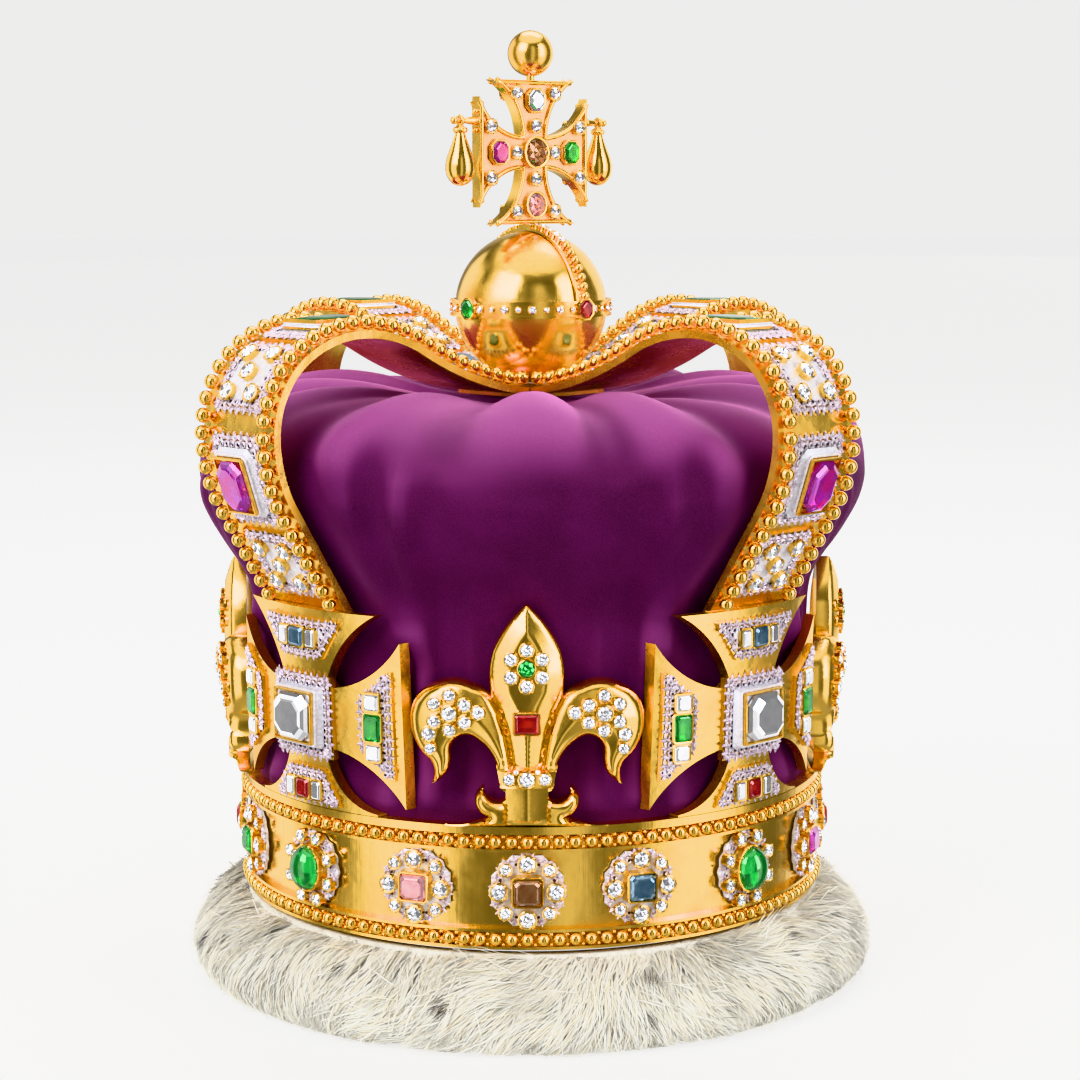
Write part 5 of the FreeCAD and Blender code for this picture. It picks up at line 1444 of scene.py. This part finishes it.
# %% [markdown]
# ## Orb, belt and hoop
# The orb is an old polished ball with fine scratches. Its belt holds an octagonal stone at each quarter,
# with small round diamonds of two sizes between. Beads climb the hoop and give way to diamonds near the
# cross.

# %% Orb
ORB_TURN = 42.0
ORB_HEIGHT = 238.1
BELT_RADIUS = 28.3
BELT_STONES = {0: "ruby", 90: "purple_stone", 180: "blue_stone", 270: "emerald"}
finished("orb", old_gold, 0)
finished("orb_band", polished_gold, 0.12)
belt, belt_steps, hoop_beads = Setting(), StepStones(), []
for quarter, colour in BELT_STONES.items():
    azimuth = ORB_TURN + quarter
    belt_steps.add(facing(azimuth, BELT_RADIUS - 0.3, ORB_HEIGHT), 6.0, 6.6, colour, 1.9, 0.28)
    for n in range(1, 9):
        spot = facing(azimuth + 10 * n, BELT_RADIUS, ORB_HEIGHT)
        belt.add(spot, 1.45 if n % 2 else 1.0, 0.6, 0.3)
for side in (0, 180):
    for n in range(12):
        up = 9.0 + 6.7 * n
        lean = math.radians(up)
        out, height = BELT_RADIUS * math.cos(lean), ORB_HEIGHT + BELT_RADIUS * math.sin(lean)
        spot = facing(ORB_TURN + side, out, height, 90 + up)
        if n < 7:
            hoop_beads.append(bead.scaled(1.55).moved(shifted(spot, z=0.9)))
        else:
            belt.add(spot, 1.6, 1.1, 0.3)
belt.finish("orb")
belt_steps.finish("orb")
piece("hoop_beads", joined(hoop_beads), bead_gold)
print("belt and hoop stones:", len(belt.stones))

# %% [markdown]
# ## The top cross
# Its face is a rosy, satin field inside a polished border. The border is a round wire that follows the
# outline, and the field is a thin plate just over the sunk face. Both sides of the cross are alike.

# %% Top cross
CROSS_HALF, CROSS_FLARE, CROSS_NECK = 25.2, 19.2, 5.9
ARM_HOLLOW = (2.3, 9.0)
TOP_CROSS_MIDDLE = 267.5 + CROSS_HALF
CROSS_FACE = 2.0
BORDER_WIRE = 0.78
TOP_STONES = [  # across, up, radius
    (0, 9.3, 2.5), (0, -9.3, 2.5), (8.9, 0, 2.5), (-8.9, 0, 2.5), (8.9, 20.8, 2.5), (-8.9, 20.8, 2.5),
    (8.9, -20.8, 2.5), (-8.9, -20.8, 2.5), (20.8, 8.9, 2.5), (20.8, -8.9, 2.5), (-20.8, 8.9, 2.5),
    (-20.8, -8.9, 2.5),
]


def top_outline(inset):
    """The cross's outline moved inward, anticlockwise."""
    through = (CROSS_NECK + ARM_HOLLOW[0], CROSS_NECK + ARM_HOLLOW[1])
    points = []
    for quarter in range(4):
        c, s = round(math.cos(math.pi / 2 * quarter)), round(math.sin(math.pi / 2 * quarter))
        edge = arc_points((CROSS_NECK, -CROSS_NECK), (through[1], -through[0]), (CROSS_HALF, -CROSS_FLARE), 1.5)
        edge += arc_points((CROSS_HALF, -CROSS_FLARE), (CROSS_HALF, 0), (CROSS_HALF, CROSS_FLARE), 2.0)
        edge += arc_points((CROSS_HALF, CROSS_FLARE), (through[1], through[0]), (CROSS_NECK, CROSS_NECK), 1.5)
        points += [(x * c - y * s, x * s + y * c) for x, y in edge]
    ring = np.array(points)
    before, after = ring - np.roll(ring, 1, axis=0), np.roll(ring, -1, axis=0) - ring
    normals = []
    for run in (before, after):
        normals.append(np.stack([-run[:, 1], run[:, 0]], 1) / np.linalg.norm(run, axis=1)[:, None])
    middle = normals[0] + normals[1]
    middle /= np.linalg.norm(middle, axis=1)[:, None]
    stretch = np.clip(1 / (middle * normals[0]).sum(axis=1), 1.0, 2.6)
    return ring + middle * (inset * stretch)[:, None]


def wire_loop(loop, height, radius, sides=8):
    """A round wire along a closed flat loop."""
    ring = np.array(loop)
    run = np.roll(ring, -1, axis=0) - np.roll(ring, 1, axis=0)
    out = np.stack([run[:, 1], -run[:, 0]], 1) / np.linalg.norm(run, axis=1)[:, None]
    points, faces, count = [], [], len(ring)
    for spot, way in zip(ring, out):
        for k in range(sides):
            a = 2 * math.pi * k / sides
            points.append((*(spot + way * radius * math.cos(a)), height + radius * math.sin(a)))
    for n in range(count):
        m = (n + 1) % count
        for k in range(sides):
            j = (k + 1) % sides
            faces.append((n * sides + k, m * sides + k, m * sides + j, n * sides + j))
    return Shape(points, faces)


finished("top_cross", polished_gold, 0.3)
field_outline = [tuple(spot) for spot in top_outline(1.2)]
flat, kept = filled([Vector(spot) for spot in field_outline], field_outline)
field_plate = Shape([(x, y, 0.0) for x, y in flat], kept)
fields, wires = [], []
top_diamonds, top_steps = Setting(), StepStones()
for side in (0, 180):
    face = facing(ORB_TURN + side, 0.0, TOP_CROSS_MIDDLE)
    fields.append(field_plate.moved(shifted(face, z=CROSS_FACE - 0.42)))
    wires.append(wire_loop(top_outline(0.85), CROSS_FACE - 0.05, BORDER_WIRE).moved(face))
    for x, y, radius in TOP_STONES:
        top_diamonds.add(shifted(face, x, y, CROSS_FACE), radius, 1.5, 0.6)
    for y, radius, tall in ((0.0, 5.3, 1.9), (-18.4, 4.4, 1.7)):
        spot = shifted(face, 0.0, y, CROSS_FACE)
        top_diamonds.metal.append(collet.scaled(radius, radius, tall + 0.6).moved(shifted(spot, z=-0.6)))
        stone = gem.scaled(radius * 0.95, radius * 0.95, radius * 0.55).moved(shifted(spot, z=tall - 0.5))
        name = f"top_cross_oval_{side}" if y == 0 else f"top_cross_champagne_{side}"
        colour = "brown_stone" if y == 0 else "pink_stone"
        made = piece(name, stone, STONES[colour], smooth=False)
    top_steps.add(shifted(face, 0.0, 18.2, CROSS_FACE), 7.4, 7.6, "clear_stone", 1.7, 0.26)
    top_steps.add(shifted(face, -16.8, 0.0, CROSS_FACE), 7.2, 7.8, "purple_stone", 1.7, 0.26)
    top_steps.add(shifted(face, 16.8, 0.0, CROSS_FACE), 7.2, 7.8, "emerald", 1.7, 0.26)
piece("top_cross_field", joined(fields), satin_gold, smooth=False)
piece("top_cross_border", joined(wires), polished_gold, sharp=60)
top_diamonds.finish("top_cross")
top_steps.finish("top_cross")
print("border points:", len(field_outline))

# %% [markdown]
# ## The drops
# Two gold pears hang free from the cross's arms and swing, so each rides on its own body. A pear is a
# turned profile with a notched cap, and a ring on top goes round the arm's pin.

# %% Pear drops
DROP_OUT = 32.5
PIN_HEIGHT = 303.5
DROP_FOOT, DROP_TALL, DROP_BELLY = 281.0, 21.0, 5.2
PEAR = [(0.0, 0.0), (0.008, 0.26), (0.035, 0.50), (0.09, 0.74), (0.17, 0.92), (0.26, 1.0), (0.35, 1.0),
        (0.46, 0.91), (0.58, 0.73), (0.70, 0.54), (0.81, 0.39), (0.865, 0.32), (0.875, 0.40), (0.90, 0.45),
        (0.93, 0.45),
        (0.955, 0.38), (0.97, 0.29), (1.0, 0.22), (1.0, 0.0)]
pear = turned([(DROP_BELLY * out, DROP_FOOT + DROP_TALL * up) for up, out in PEAR], 40)
pear_up = (pear.points[:, 2] - DROP_FOOT) / DROP_TALL
notched = (pear_up > 0.88) & (pear_up < 0.96)
ripple = 1 + 0.10 * np.cos(10 * np.arctan2(pear.points[:, 1], pear.points[:, 0]))
pear.points[notched, :2] *= ripple[notched, None]
eye_loop = [(1.5 * math.cos(a), 1.5 * math.sin(a)) for a in np.linspace(0, 2 * math.pi, 25)[:-1]]
eye = wire_loop(eye_loop, 0.0, 0.55).moved(place((0, 0, PIN_HEIGHT), (0, 1, 0), (0, 0, 1)))
for side, way in (("right", 1), ("left", -1)):
    hung = shifted(about_axis(ORB_TURN), x=way * DROP_OUT)
    made = piece(f"pear_{side}", joined([pear, eye]).moved(hung), bead_gold, f"drop_{side}", sharp=60)
    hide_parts(f"drop_{side}")
print("pear faces:", len(pear.faces))

# %% [markdown]
# ## The velvet cap
# The cap is sewn from thick velvet and puffs out between the arches, which hold it down. It could be
# simulated as cloth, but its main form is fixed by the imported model, so its rows are drawn through that
# form with smooth curves. A table then places the folds that the eye sees: long ones that fall from the
# puff's edge to the circlet, wide ones that swing in from the arches, and soft crests along the upper
# edge. A fold is steeper on the side that faces the middle.

# %% The cap's form
CAP_ROWS = [  # height, radius between arches, radius under an arch
    (33.0, 99.6, 99.6), (72.0, 99.6, 99.6), (80.0, 100.4, 99.8), (104.0, 101.2, 99.6), (126.0, 102.0, 98.6),
    (137.0, 102.6, 97.8), (143.0, 104.0, 99.2), (148.6, 107.0, 101.8), (154.0, 111.2, 105.4),
    (160.0, 115.4, 109.4),
    (167.0, 119.4, 113.8), (174.0, 121.8, 118.0), (181.0, 122.6, 120.8), (189.0, 121.2, 121.6),
    (196.0, 116.4, 118.6),
    (202.0, 108.4, 111.4), (206.6, 96.0, 99.0), (208.8, 80.0, 82.0), (208.8, 61.0, 62.0), (206.6, 40.0, 40.0),
    (205.6, 20.0, 20.0), (205.4, 3.0, 3.0),
]
CAP_AROUND = 264
CAP_UP = 92
LOOK_AHEAD = 0.004  # a share of the way up, to find how steep the cap is
# The reach below sets the painted fold light: crests are painted lighter and valleys darker.
FOLD_LIGHT_REACH = 4  # columns to either side that a point is compared with


def through_rows(rows, share):
    """A smooth curve through the rows. share runs from 0 at the first to 1 at the last."""
    table = np.array(rows)
    at = share * (len(table) - 1)
    n = min(int(at), len(table) - 2)
    t = at - n
    a, b, c, d = table[max(n - 1, 0)], table[n], table[n + 1], table[min(n + 2, len(table) - 1)]
    return 0.5 * (2 * b + (c - a) * t + (2 * a - 5 * b + 4 * c - d) * t * t + (3 * b - a - 3 * c + d) * t ** 3)


def wave(x, y, z=0.0):
    return noise.noise(Vector((x, y, z)))


def smooth(share):
    """An even climb from 0 to 1 that starts and ends level."""
    share = max(0.0, min(1.0, share))
    return share * share * (3 - 2 * share)


# %% Folds and crests of one side
FOLDS = [  # degrees from the side's middle at its top and at its foot, width, height out, lowest and highest point
    (-21.0, -17.5, 1.7, 4.6, 70.0, 200.0),
    (-33.0, -22.0, 3.4, 6.0, 124.0, 208.0),
    (-27.0, -27.5, 2.4, 2.4, 70.0, 132.0),
    (-12.5, -9.5, 2.6, 1.7, 70.0, 156.0),
    (-3.0, -2.0, 2.8, 1.4, 70.0, 150.0),
    (5.0, 6.5, 3.4, 1.7, 70.0, 166.0),
    (14.0, 12.5, 2.4, 1.6, 70.0, 150.0),
    (24.5, 20.0, 1.9, 4.2, 70.0, 198.0),
    (34.0, 25.0, 3.4, 6.0, 118.0, 208.0),
    (29.0, 28.5, 2.4, 2.2, 70.0, 130.0),
]
CRESTS = [  # degrees from the side's middle, width, height out at the puff's upper edge
    (-31.0, 6.5, 4.6), (-13.0, 5.5, -3.0), (1.5, 8.5, 4.2), (13.5, 4.5, -3.0), (25.0, 7.0, 4.8),
    (37.0, 4.0, -1.5),
]
CREST_RISE, CREST_FALL = (0.58, 0.72), (0.80, 0.97)  # shares of the way up the cap
SUNK = 3.8
ARCH_HOLD = 17.0


def fold_depth(degrees, height, share):
    """How far the velvet stands out or in. The arches hold it down, and every second side is mirrored."""
    side = round(degrees / 90)
    off = (degrees - 90 * side) * (-1 if side % 2 else 1)
    free = smooth((45 - abs(off)) / ARCH_HOLD)
    depth = -SUNK * smooth((height - 74) / 16) * smooth((214 - height) / 26)
    for top_at, foot_at, width, out, low, high in FOLDS:
        run = (height - low) / (high - low)
        if not 0 < run < 1:
            continue
        centre = foot_at + (top_at - foot_at) * run + 1.7 * wave(height * 0.022, top_at * 0.37, side * 2.7)
        gap = (off - centre) * (1 if centre < 0 else -1)
        reach = width if gap > 0 else 2.1 * width
        depth += out * smooth(run / 0.12) * smooth((1 - run) / 0.22) * math.exp(-(gap / reach) ** 2)
    edge = smooth((share - CREST_RISE[0]) / (CREST_RISE[1] - CREST_RISE[0]))
    edge *= smooth((CREST_FALL[1] - share) / (CREST_FALL[1] - CREST_FALL[0]))
    for at, width, out in CRESTS:
        depth += edge * out * math.exp(-((off - at - 1.5 * wave(side * 3.1, at, 0.5)) / width) ** 2)
    turn = math.radians(degrees)
    broad = wave(2.6 * math.sin(turn), 2.6 * math.cos(turn), height * 0.022 + 7)
    return free * (depth + 2.2 * broad * smooth((height - 140) / 20))


# %% The cap
def cap_shape():
    """The cap, and how far each of its points stands out of its neighbours, 0.5 being level, which the velvet
    turns into painted highlight and shade on the folds.
    """
    points = []
    depths = np.zeros((CAP_UP, CAP_AROUND))
    for j in range(CAP_UP):
        share = j / (CAP_UP - 1)
        height, between, under = through_rows(CAP_ROWS, share)
        ahead = through_rows(CAP_ROWS, min(1.0, share + LOOK_AHEAD))
        behind = through_rows(CAP_ROWS, max(0.0, share - LOOK_AHEAD))
        for i in range(CAP_AROUND):
            turn = 2 * math.pi * i / CAP_AROUND
            free = math.cos(2 * turn) ** 2
            radius = under + (between - under) * free
            between_run, under_run = ahead[1] - behind[1], ahead[2] - behind[2]
            run = (ahead[0] - behind[0], under_run + (between_run - under_run) * free)
            length = math.hypot(*run) or 1.0
            depth = fold_depth(math.degrees(turn), height, share)
            depths[j, i] = depth
            reach = radius + depth * run[0] / length
            points.append((reach * math.sin(turn), -reach * math.cos(turn), height - depth * run[1] / length))
    faces = []
    for j in range(CAP_UP - 1):
        for i in range(CAP_AROUND):
            k = (i + 1) % CAP_AROUND
            low, high = j * CAP_AROUND, (j + 1) * CAP_AROUND
            faces.append((low + i, low + k, high + k, high + i))
    faces.append(tuple((CAP_UP - 1) * CAP_AROUND + i for i in range(CAP_AROUND)))
    stands_out = depths - (np.roll(depths, FOLD_LIGHT_REACH, axis=1) + np.roll(depths, -FOLD_LIGHT_REACH, axis=1)) / 2
    return Shape(points, faces), np.clip(0.5 + 0.16 * stands_out, 0, 1)


form, fold_light = cap_shape()
cap = piece("velvet_folds", form, purple_velvet)
# Painted light: the cap carries how far each point stands out, for a painted highlight on fold crests and painted
# shade in the valleys.
layer = cap.data.color_attributes.new("painted_fold_light", "FLOAT_COLOR", "POINT")
layer.data.foreach_set("color", np.repeat(fold_light.ravel()[:, None], 4, axis=1).ravel())
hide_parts("velvet_cap")
backing = cap.modifiers.new("backing", "SOLIDIFY")
backing.thickness = 1.2 * MM
backing.offset = -1.0
print("cap faces:", len(cap.data.polygons))

# %% [markdown]
# ## The fur
# Long white fur hides the circlet's lower edge. A padded ring gives its body, and forty thousand strands
# give its look. A hair system would need a renderer's own hair, which an exported model loses, so each
# strand is a narrow ribbon that tapers to its tip. Every strand lies along the ring's surface, a little
# higher at its tip than at its root, and the strands of a tuft draw together. A slow swirl turns the way
# they lie.

# %% The fur's body
FUR_PROFILE = [  # radius, height, from the foot to the circlet
    (112.0, 0.6), (117.0, 0.6), (121.5, 2.4), (124.2, 7.0), (123.6, 13.0), (119.5, 20.5), (113.5, 26.5),
    (107.0, 30.5),
    (104.9, 30.8),
]
FUR_DEPTH = 2.4
draw = np.random.default_rng(11)
fur_table = np.array(FUR_PROFILE)
fur_steps = np.concatenate([[0], np.cumsum(np.linalg.norm(np.diff(fur_table, axis=0), axis=1))])
FUR_GIRTH = fur_steps[-1]


def fur_point(share):
    """Radius, height and outward normal of the fur's surface, for an array of shares from foot to top."""
    at = fur_steps / FUR_GIRTH
    radius, height = np.interp(share, at, fur_table[:, 0]), np.interp(share, at, fur_table[:, 1])
    ahead = np.stack([np.interp(share + 0.07, at, fur_table[:, n]) for n in (0, 1)], 1)
    behind = np.stack([np.interp(share - 0.07, at, fur_table[:, n]) for n in (0, 1)], 1)
    run = ahead - behind
    run /= np.linalg.norm(run, axis=1)[:, None] + 1e-9
    return radius, height, np.stack([run[:, 1], -run[:, 0]], 1)


radius, height, normal = fur_point(np.linspace(0, 1, 14))
body_rows = [(r - FUR_DEPTH * n[0], max(0.5, h - FUR_DEPTH * n[1])) for r, h, n in zip(radius, height, normal)]
body_rows = [(99.0, 0.5)] + body_rows + [(104.3, 29.5), (99.0, 29.5)]
fur_body = turned(body_rows + body_rows[:1], 180)
made = piece("fur_body", fur_body, under_fur)
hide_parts("fur_band")
print("body rows:", len(body_rows), "girth in mm:", round(FUR_GIRTH, 1))

# %% Strands
STRANDS = 42000
TUFTS = 2300
PIECES = 2
DRAWN_IN = 0.55  # how far a strand's tip is drawn to its tuft's tip
ALONG = np.array((0.0, 0.33, 0.68, 1.0))  # where along a strand its rings stand
WIDTHS = np.array((0.75, 1.0, 0.8))
# Painted shade along each strand: darker at the root, where the fur shades itself, and a touch lighter at the tip,
# a painted highlight.
SHADING = np.array((0.80, 0.80, 0.94, 0.94, 1.0, 1.0, 1.03))
DARK_TUFTS = [  # azimuth, height, strength
    (20.3, 23.0, 1.0), (33.0, 25.5, 1.0), (-14.0, 15.7, 0.8), (-33.0, 22.0, 0.45), (-4.0, 26.0, 0.4),
    (-50.0, 26.0, 0.35), (54.0, 27.0, 0.45), (51.0, 23.0, 0.4), (34.0, 12.0, 0.5), (19.0, 9.0, 0.5),
    (76.0, 18.0, 0.9), (108.0, 23.0, 0.8), (131.0, 13.0, 0.9), (158.0, 22.0, 0.9), (183.0, 12.0, 0.8),
    (207.0, 23.0, 1.0), (236.0, 15.0, 0.8), (262.0, 23.0, 0.9), (289.0, 13.0, 0.9),
]
FUR_WHITE, FUR_SHADE, FUR_CREAM = (0.80, 0.79, 0.73), (0.50, 0.49, 0.44), (0.97, 0.91, 0.78)
FUR_DARK = (0.050, 0.036, 0.032)
DARK_SIZE, DARK_RAISED, DARK_WIDER = 2.7, 1.1, 0.45
DARK_LENGTH = 0.36  # a dark hair's share of a white one's length


def swirl_field(turn, share):
    """The angle that the fur lies at: 0 is straight down, and positive angles lean to the viewer's right."""
    broad = 0.15 + 0.75 * np.sin(2.0 * turn - 0.9)
    middle = 0.50 * np.sin(5.0 * turn - 3.0 * share + 0.6)
    return broad + middle + 0.28 * np.sin(12.0 * turn + 6.0 * share)


def laid(turn, share, lift):
    """Points on the fur's surface at azimuths, shares and heights over it."""
    radius, height, normal = fur_point(share)
    outward = np.stack([np.sin(turn), -np.cos(turn), np.zeros_like(turn)], 1)
    up = np.array((0.0, 0.0, 1.0))
    out = outward * normal[:, :1] + up * normal[:, 1:]
    spot = outward * radius[:, None] + up * height[:, None] + out * lift[:, None]
    spot[:, 2] = np.maximum(spot[:, 2], 0.4)
    return spot, out


def stepped(turn, share, lie, length):
    """Where a strand of a length ends when it lies at an angle."""
    return turn + np.sin(lie) * length / 118.0, share - np.cos(lie) * length / FUR_GIRTH


tuft_turn = draw.uniform(0, 2 * math.pi, TUFTS)
tuft_share = draw.uniform(0.16, 1.02, TUFTS)
tuft_long = draw.uniform(12.0, 19.0, TUFTS)
tuft_tone = draw.uniform(0.0, 1.0, TUFTS)
tuft_lie = swirl_field(tuft_turn, tuft_share) + draw.normal(0, 0.13, TUFTS)
tuft_end = stepped(tuft_turn, tuft_share, tuft_lie, tuft_long)

owner = draw.integers(0, TUFTS, STRANDS)
turn = tuft_turn[owner] + draw.normal(0, 0.022, STRANDS)
share = tuft_share[owner] + draw.normal(0, 0.055, STRANDS)
lie = tuft_lie[owner] + draw.normal(0, 0.07, STRANDS)
long = tuft_long[owner] * draw.uniform(0.75, 1.15, STRANDS)
stray = draw.random(STRANDS) < 0.07
lie[stray] += draw.normal(0, 0.4, STRANDS)[stray]
own_end = stepped(turn, share, lie, long)
drawn = np.where(stray, 0.0, DRAWN_IN)
end_turn = own_end[0] * (1 - drawn) + tuft_end[0][owner] * drawn
end_share = own_end[1] * (1 - drawn) + tuft_end[1][owner] * drawn
top = draw.uniform(0.1, 1.5, STRANDS) + np.where(stray, draw.uniform(0.5, 3.4, STRANDS), 0.0)
half_width = draw.uniform(0.10, 0.19, STRANDS)
rings = []
for n, along in enumerate(ALONG):
    at_turn = turn + (end_turn - turn) * along
    at_share = np.clip(share + (end_share - share) * along, 0.13, 1.0)
    spot, out = laid(at_turn, at_share, -FUR_DEPTH + (FUR_DEPTH + top) * along ** 0.75)
    if n == 0:
        root = spot
        sideways = np.cross(laid(end_turn, np.clip(end_share, 0.13, 1.0), top)[0] - root, out)
        sideways += draw.normal(0, 0.8, (STRANDS, 3))
        sideways /= np.linalg.norm(sideways, axis=1)[:, None] + 1e-9
    if n < len(WIDTHS):
        reach = sideways * (half_width * WIDTHS[n])[:, None]
        rings += [spot - reach, spot + reach]
    else:
        rings.append(spot)
tip = spot
strand_points = np.stack(rings, 1)
patch = np.array([wave(9 * math.sin(t), 9 * math.cos(t), 5 * s) for t, s in zip(tuft_turn, tuft_share)])
tone = 0.62 + 0.75 * patch[owner] + 0.22 * tuft_tone[owner] + draw.normal(0, 0.10, STRANDS)
tone = np.clip(tone, 0, 1)[:, None]
cream = (draw.random(STRANDS) < 0.30)[:, None]
tint = np.array(FUR_SHADE) * (1 - tone) + np.array(FUR_WHITE) * tone
tint = np.where(cream, tint * np.array(FUR_CREAM), tint)
# Painted shade: each strand's tone is darkened towards its root and lifted a touch at its tip.
strand_tone_and_root_shade = np.clip(tint[:, None, :] * SHADING[None, :, None], 0, 1)
for azimuth, height, strength in DARK_TUFTS:
    away = (np.remainder(np.degrees(end_turn) - azimuth + 180, 360) - 180) * 2.1
    near = np.hypot(away, tip[:, 2] - height) < DARK_SIZE * draw.uniform(0.6, 1.3, STRANDS)
    dark = np.nonzero(near & (draw.random(STRANDS) < strength))[0]
    end = tip[dark, None]
    raised = DARK_RAISED * end * (1, 1, 0) / np.linalg.norm(end * (1, 1, 0), axis=2)[:, :, None]
    strand_points[dark] = end + (strand_points[dark] - end) * DARK_LENGTH + raised
    other_side = strand_points[dark][:, (1, 0, 3, 2, 5, 4)]
    strand_points[dark, :6] += (strand_points[dark, :6] - other_side) * DARK_WIDER
    strand_tone_and_root_shade[dark] = FUR_DARK


def strand_piece(name, points, colours):
    """Ribbons of two quads and a tip, with the strands' tone and painted root shade stored on their points."""
    count = len(points)
    mesh = bpy.data.meshes.new(name)
    base = np.arange(count)[:, None] * 7
    corners = np.concatenate([base + (0, 1, 3, 2), base + (2, 3, 5, 4), base + (4, 5, 6)], 1).ravel()
    mesh.vertices.add(count * 7)
    mesh.vertices.foreach_set("co", (points.reshape(-1) * MM))
    mesh.loops.add(len(corners))
    mesh.loops.foreach_set("vertex_index", corners)
    mesh.polygons.add(count * 3)
    mesh.polygons.foreach_set("loop_start", (np.arange(count)[:, None] * 11 + (0, 4, 8)).ravel())
    mesh.update(calc_edges=True)
    mesh.validate()
    layer = mesh.color_attributes.new("strand_tone_and_root_shade", "FLOAT_COLOR", "POINT")
    rgba = np.concatenate([colours, np.ones((*colours.shape[:2], 1))], 2)
    layer.data.foreach_set("color", rgba.reshape(-1))
    mesh.polygons.foreach_set("use_smooth", [True] * len(mesh.polygons))
    mesh.materials.append(strand_fur)
    made = bpy.data.objects.new(name, mesh)
    bpy.context.scene.collection.objects.link(made)
    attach(made, "crown")
    return made


each = STRANDS // PIECES
for n in range(PIECES):
    part = slice(n * each, (n + 1) * each)
    strand_piece(f"fur_strands_{n + 1}", strand_points[part], strand_tone_and_root_shade[part])
print("strands:", STRANDS, "tip radius up to", round(float(np.linalg.norm(tip[:, :2], axis=1).max()), 1))
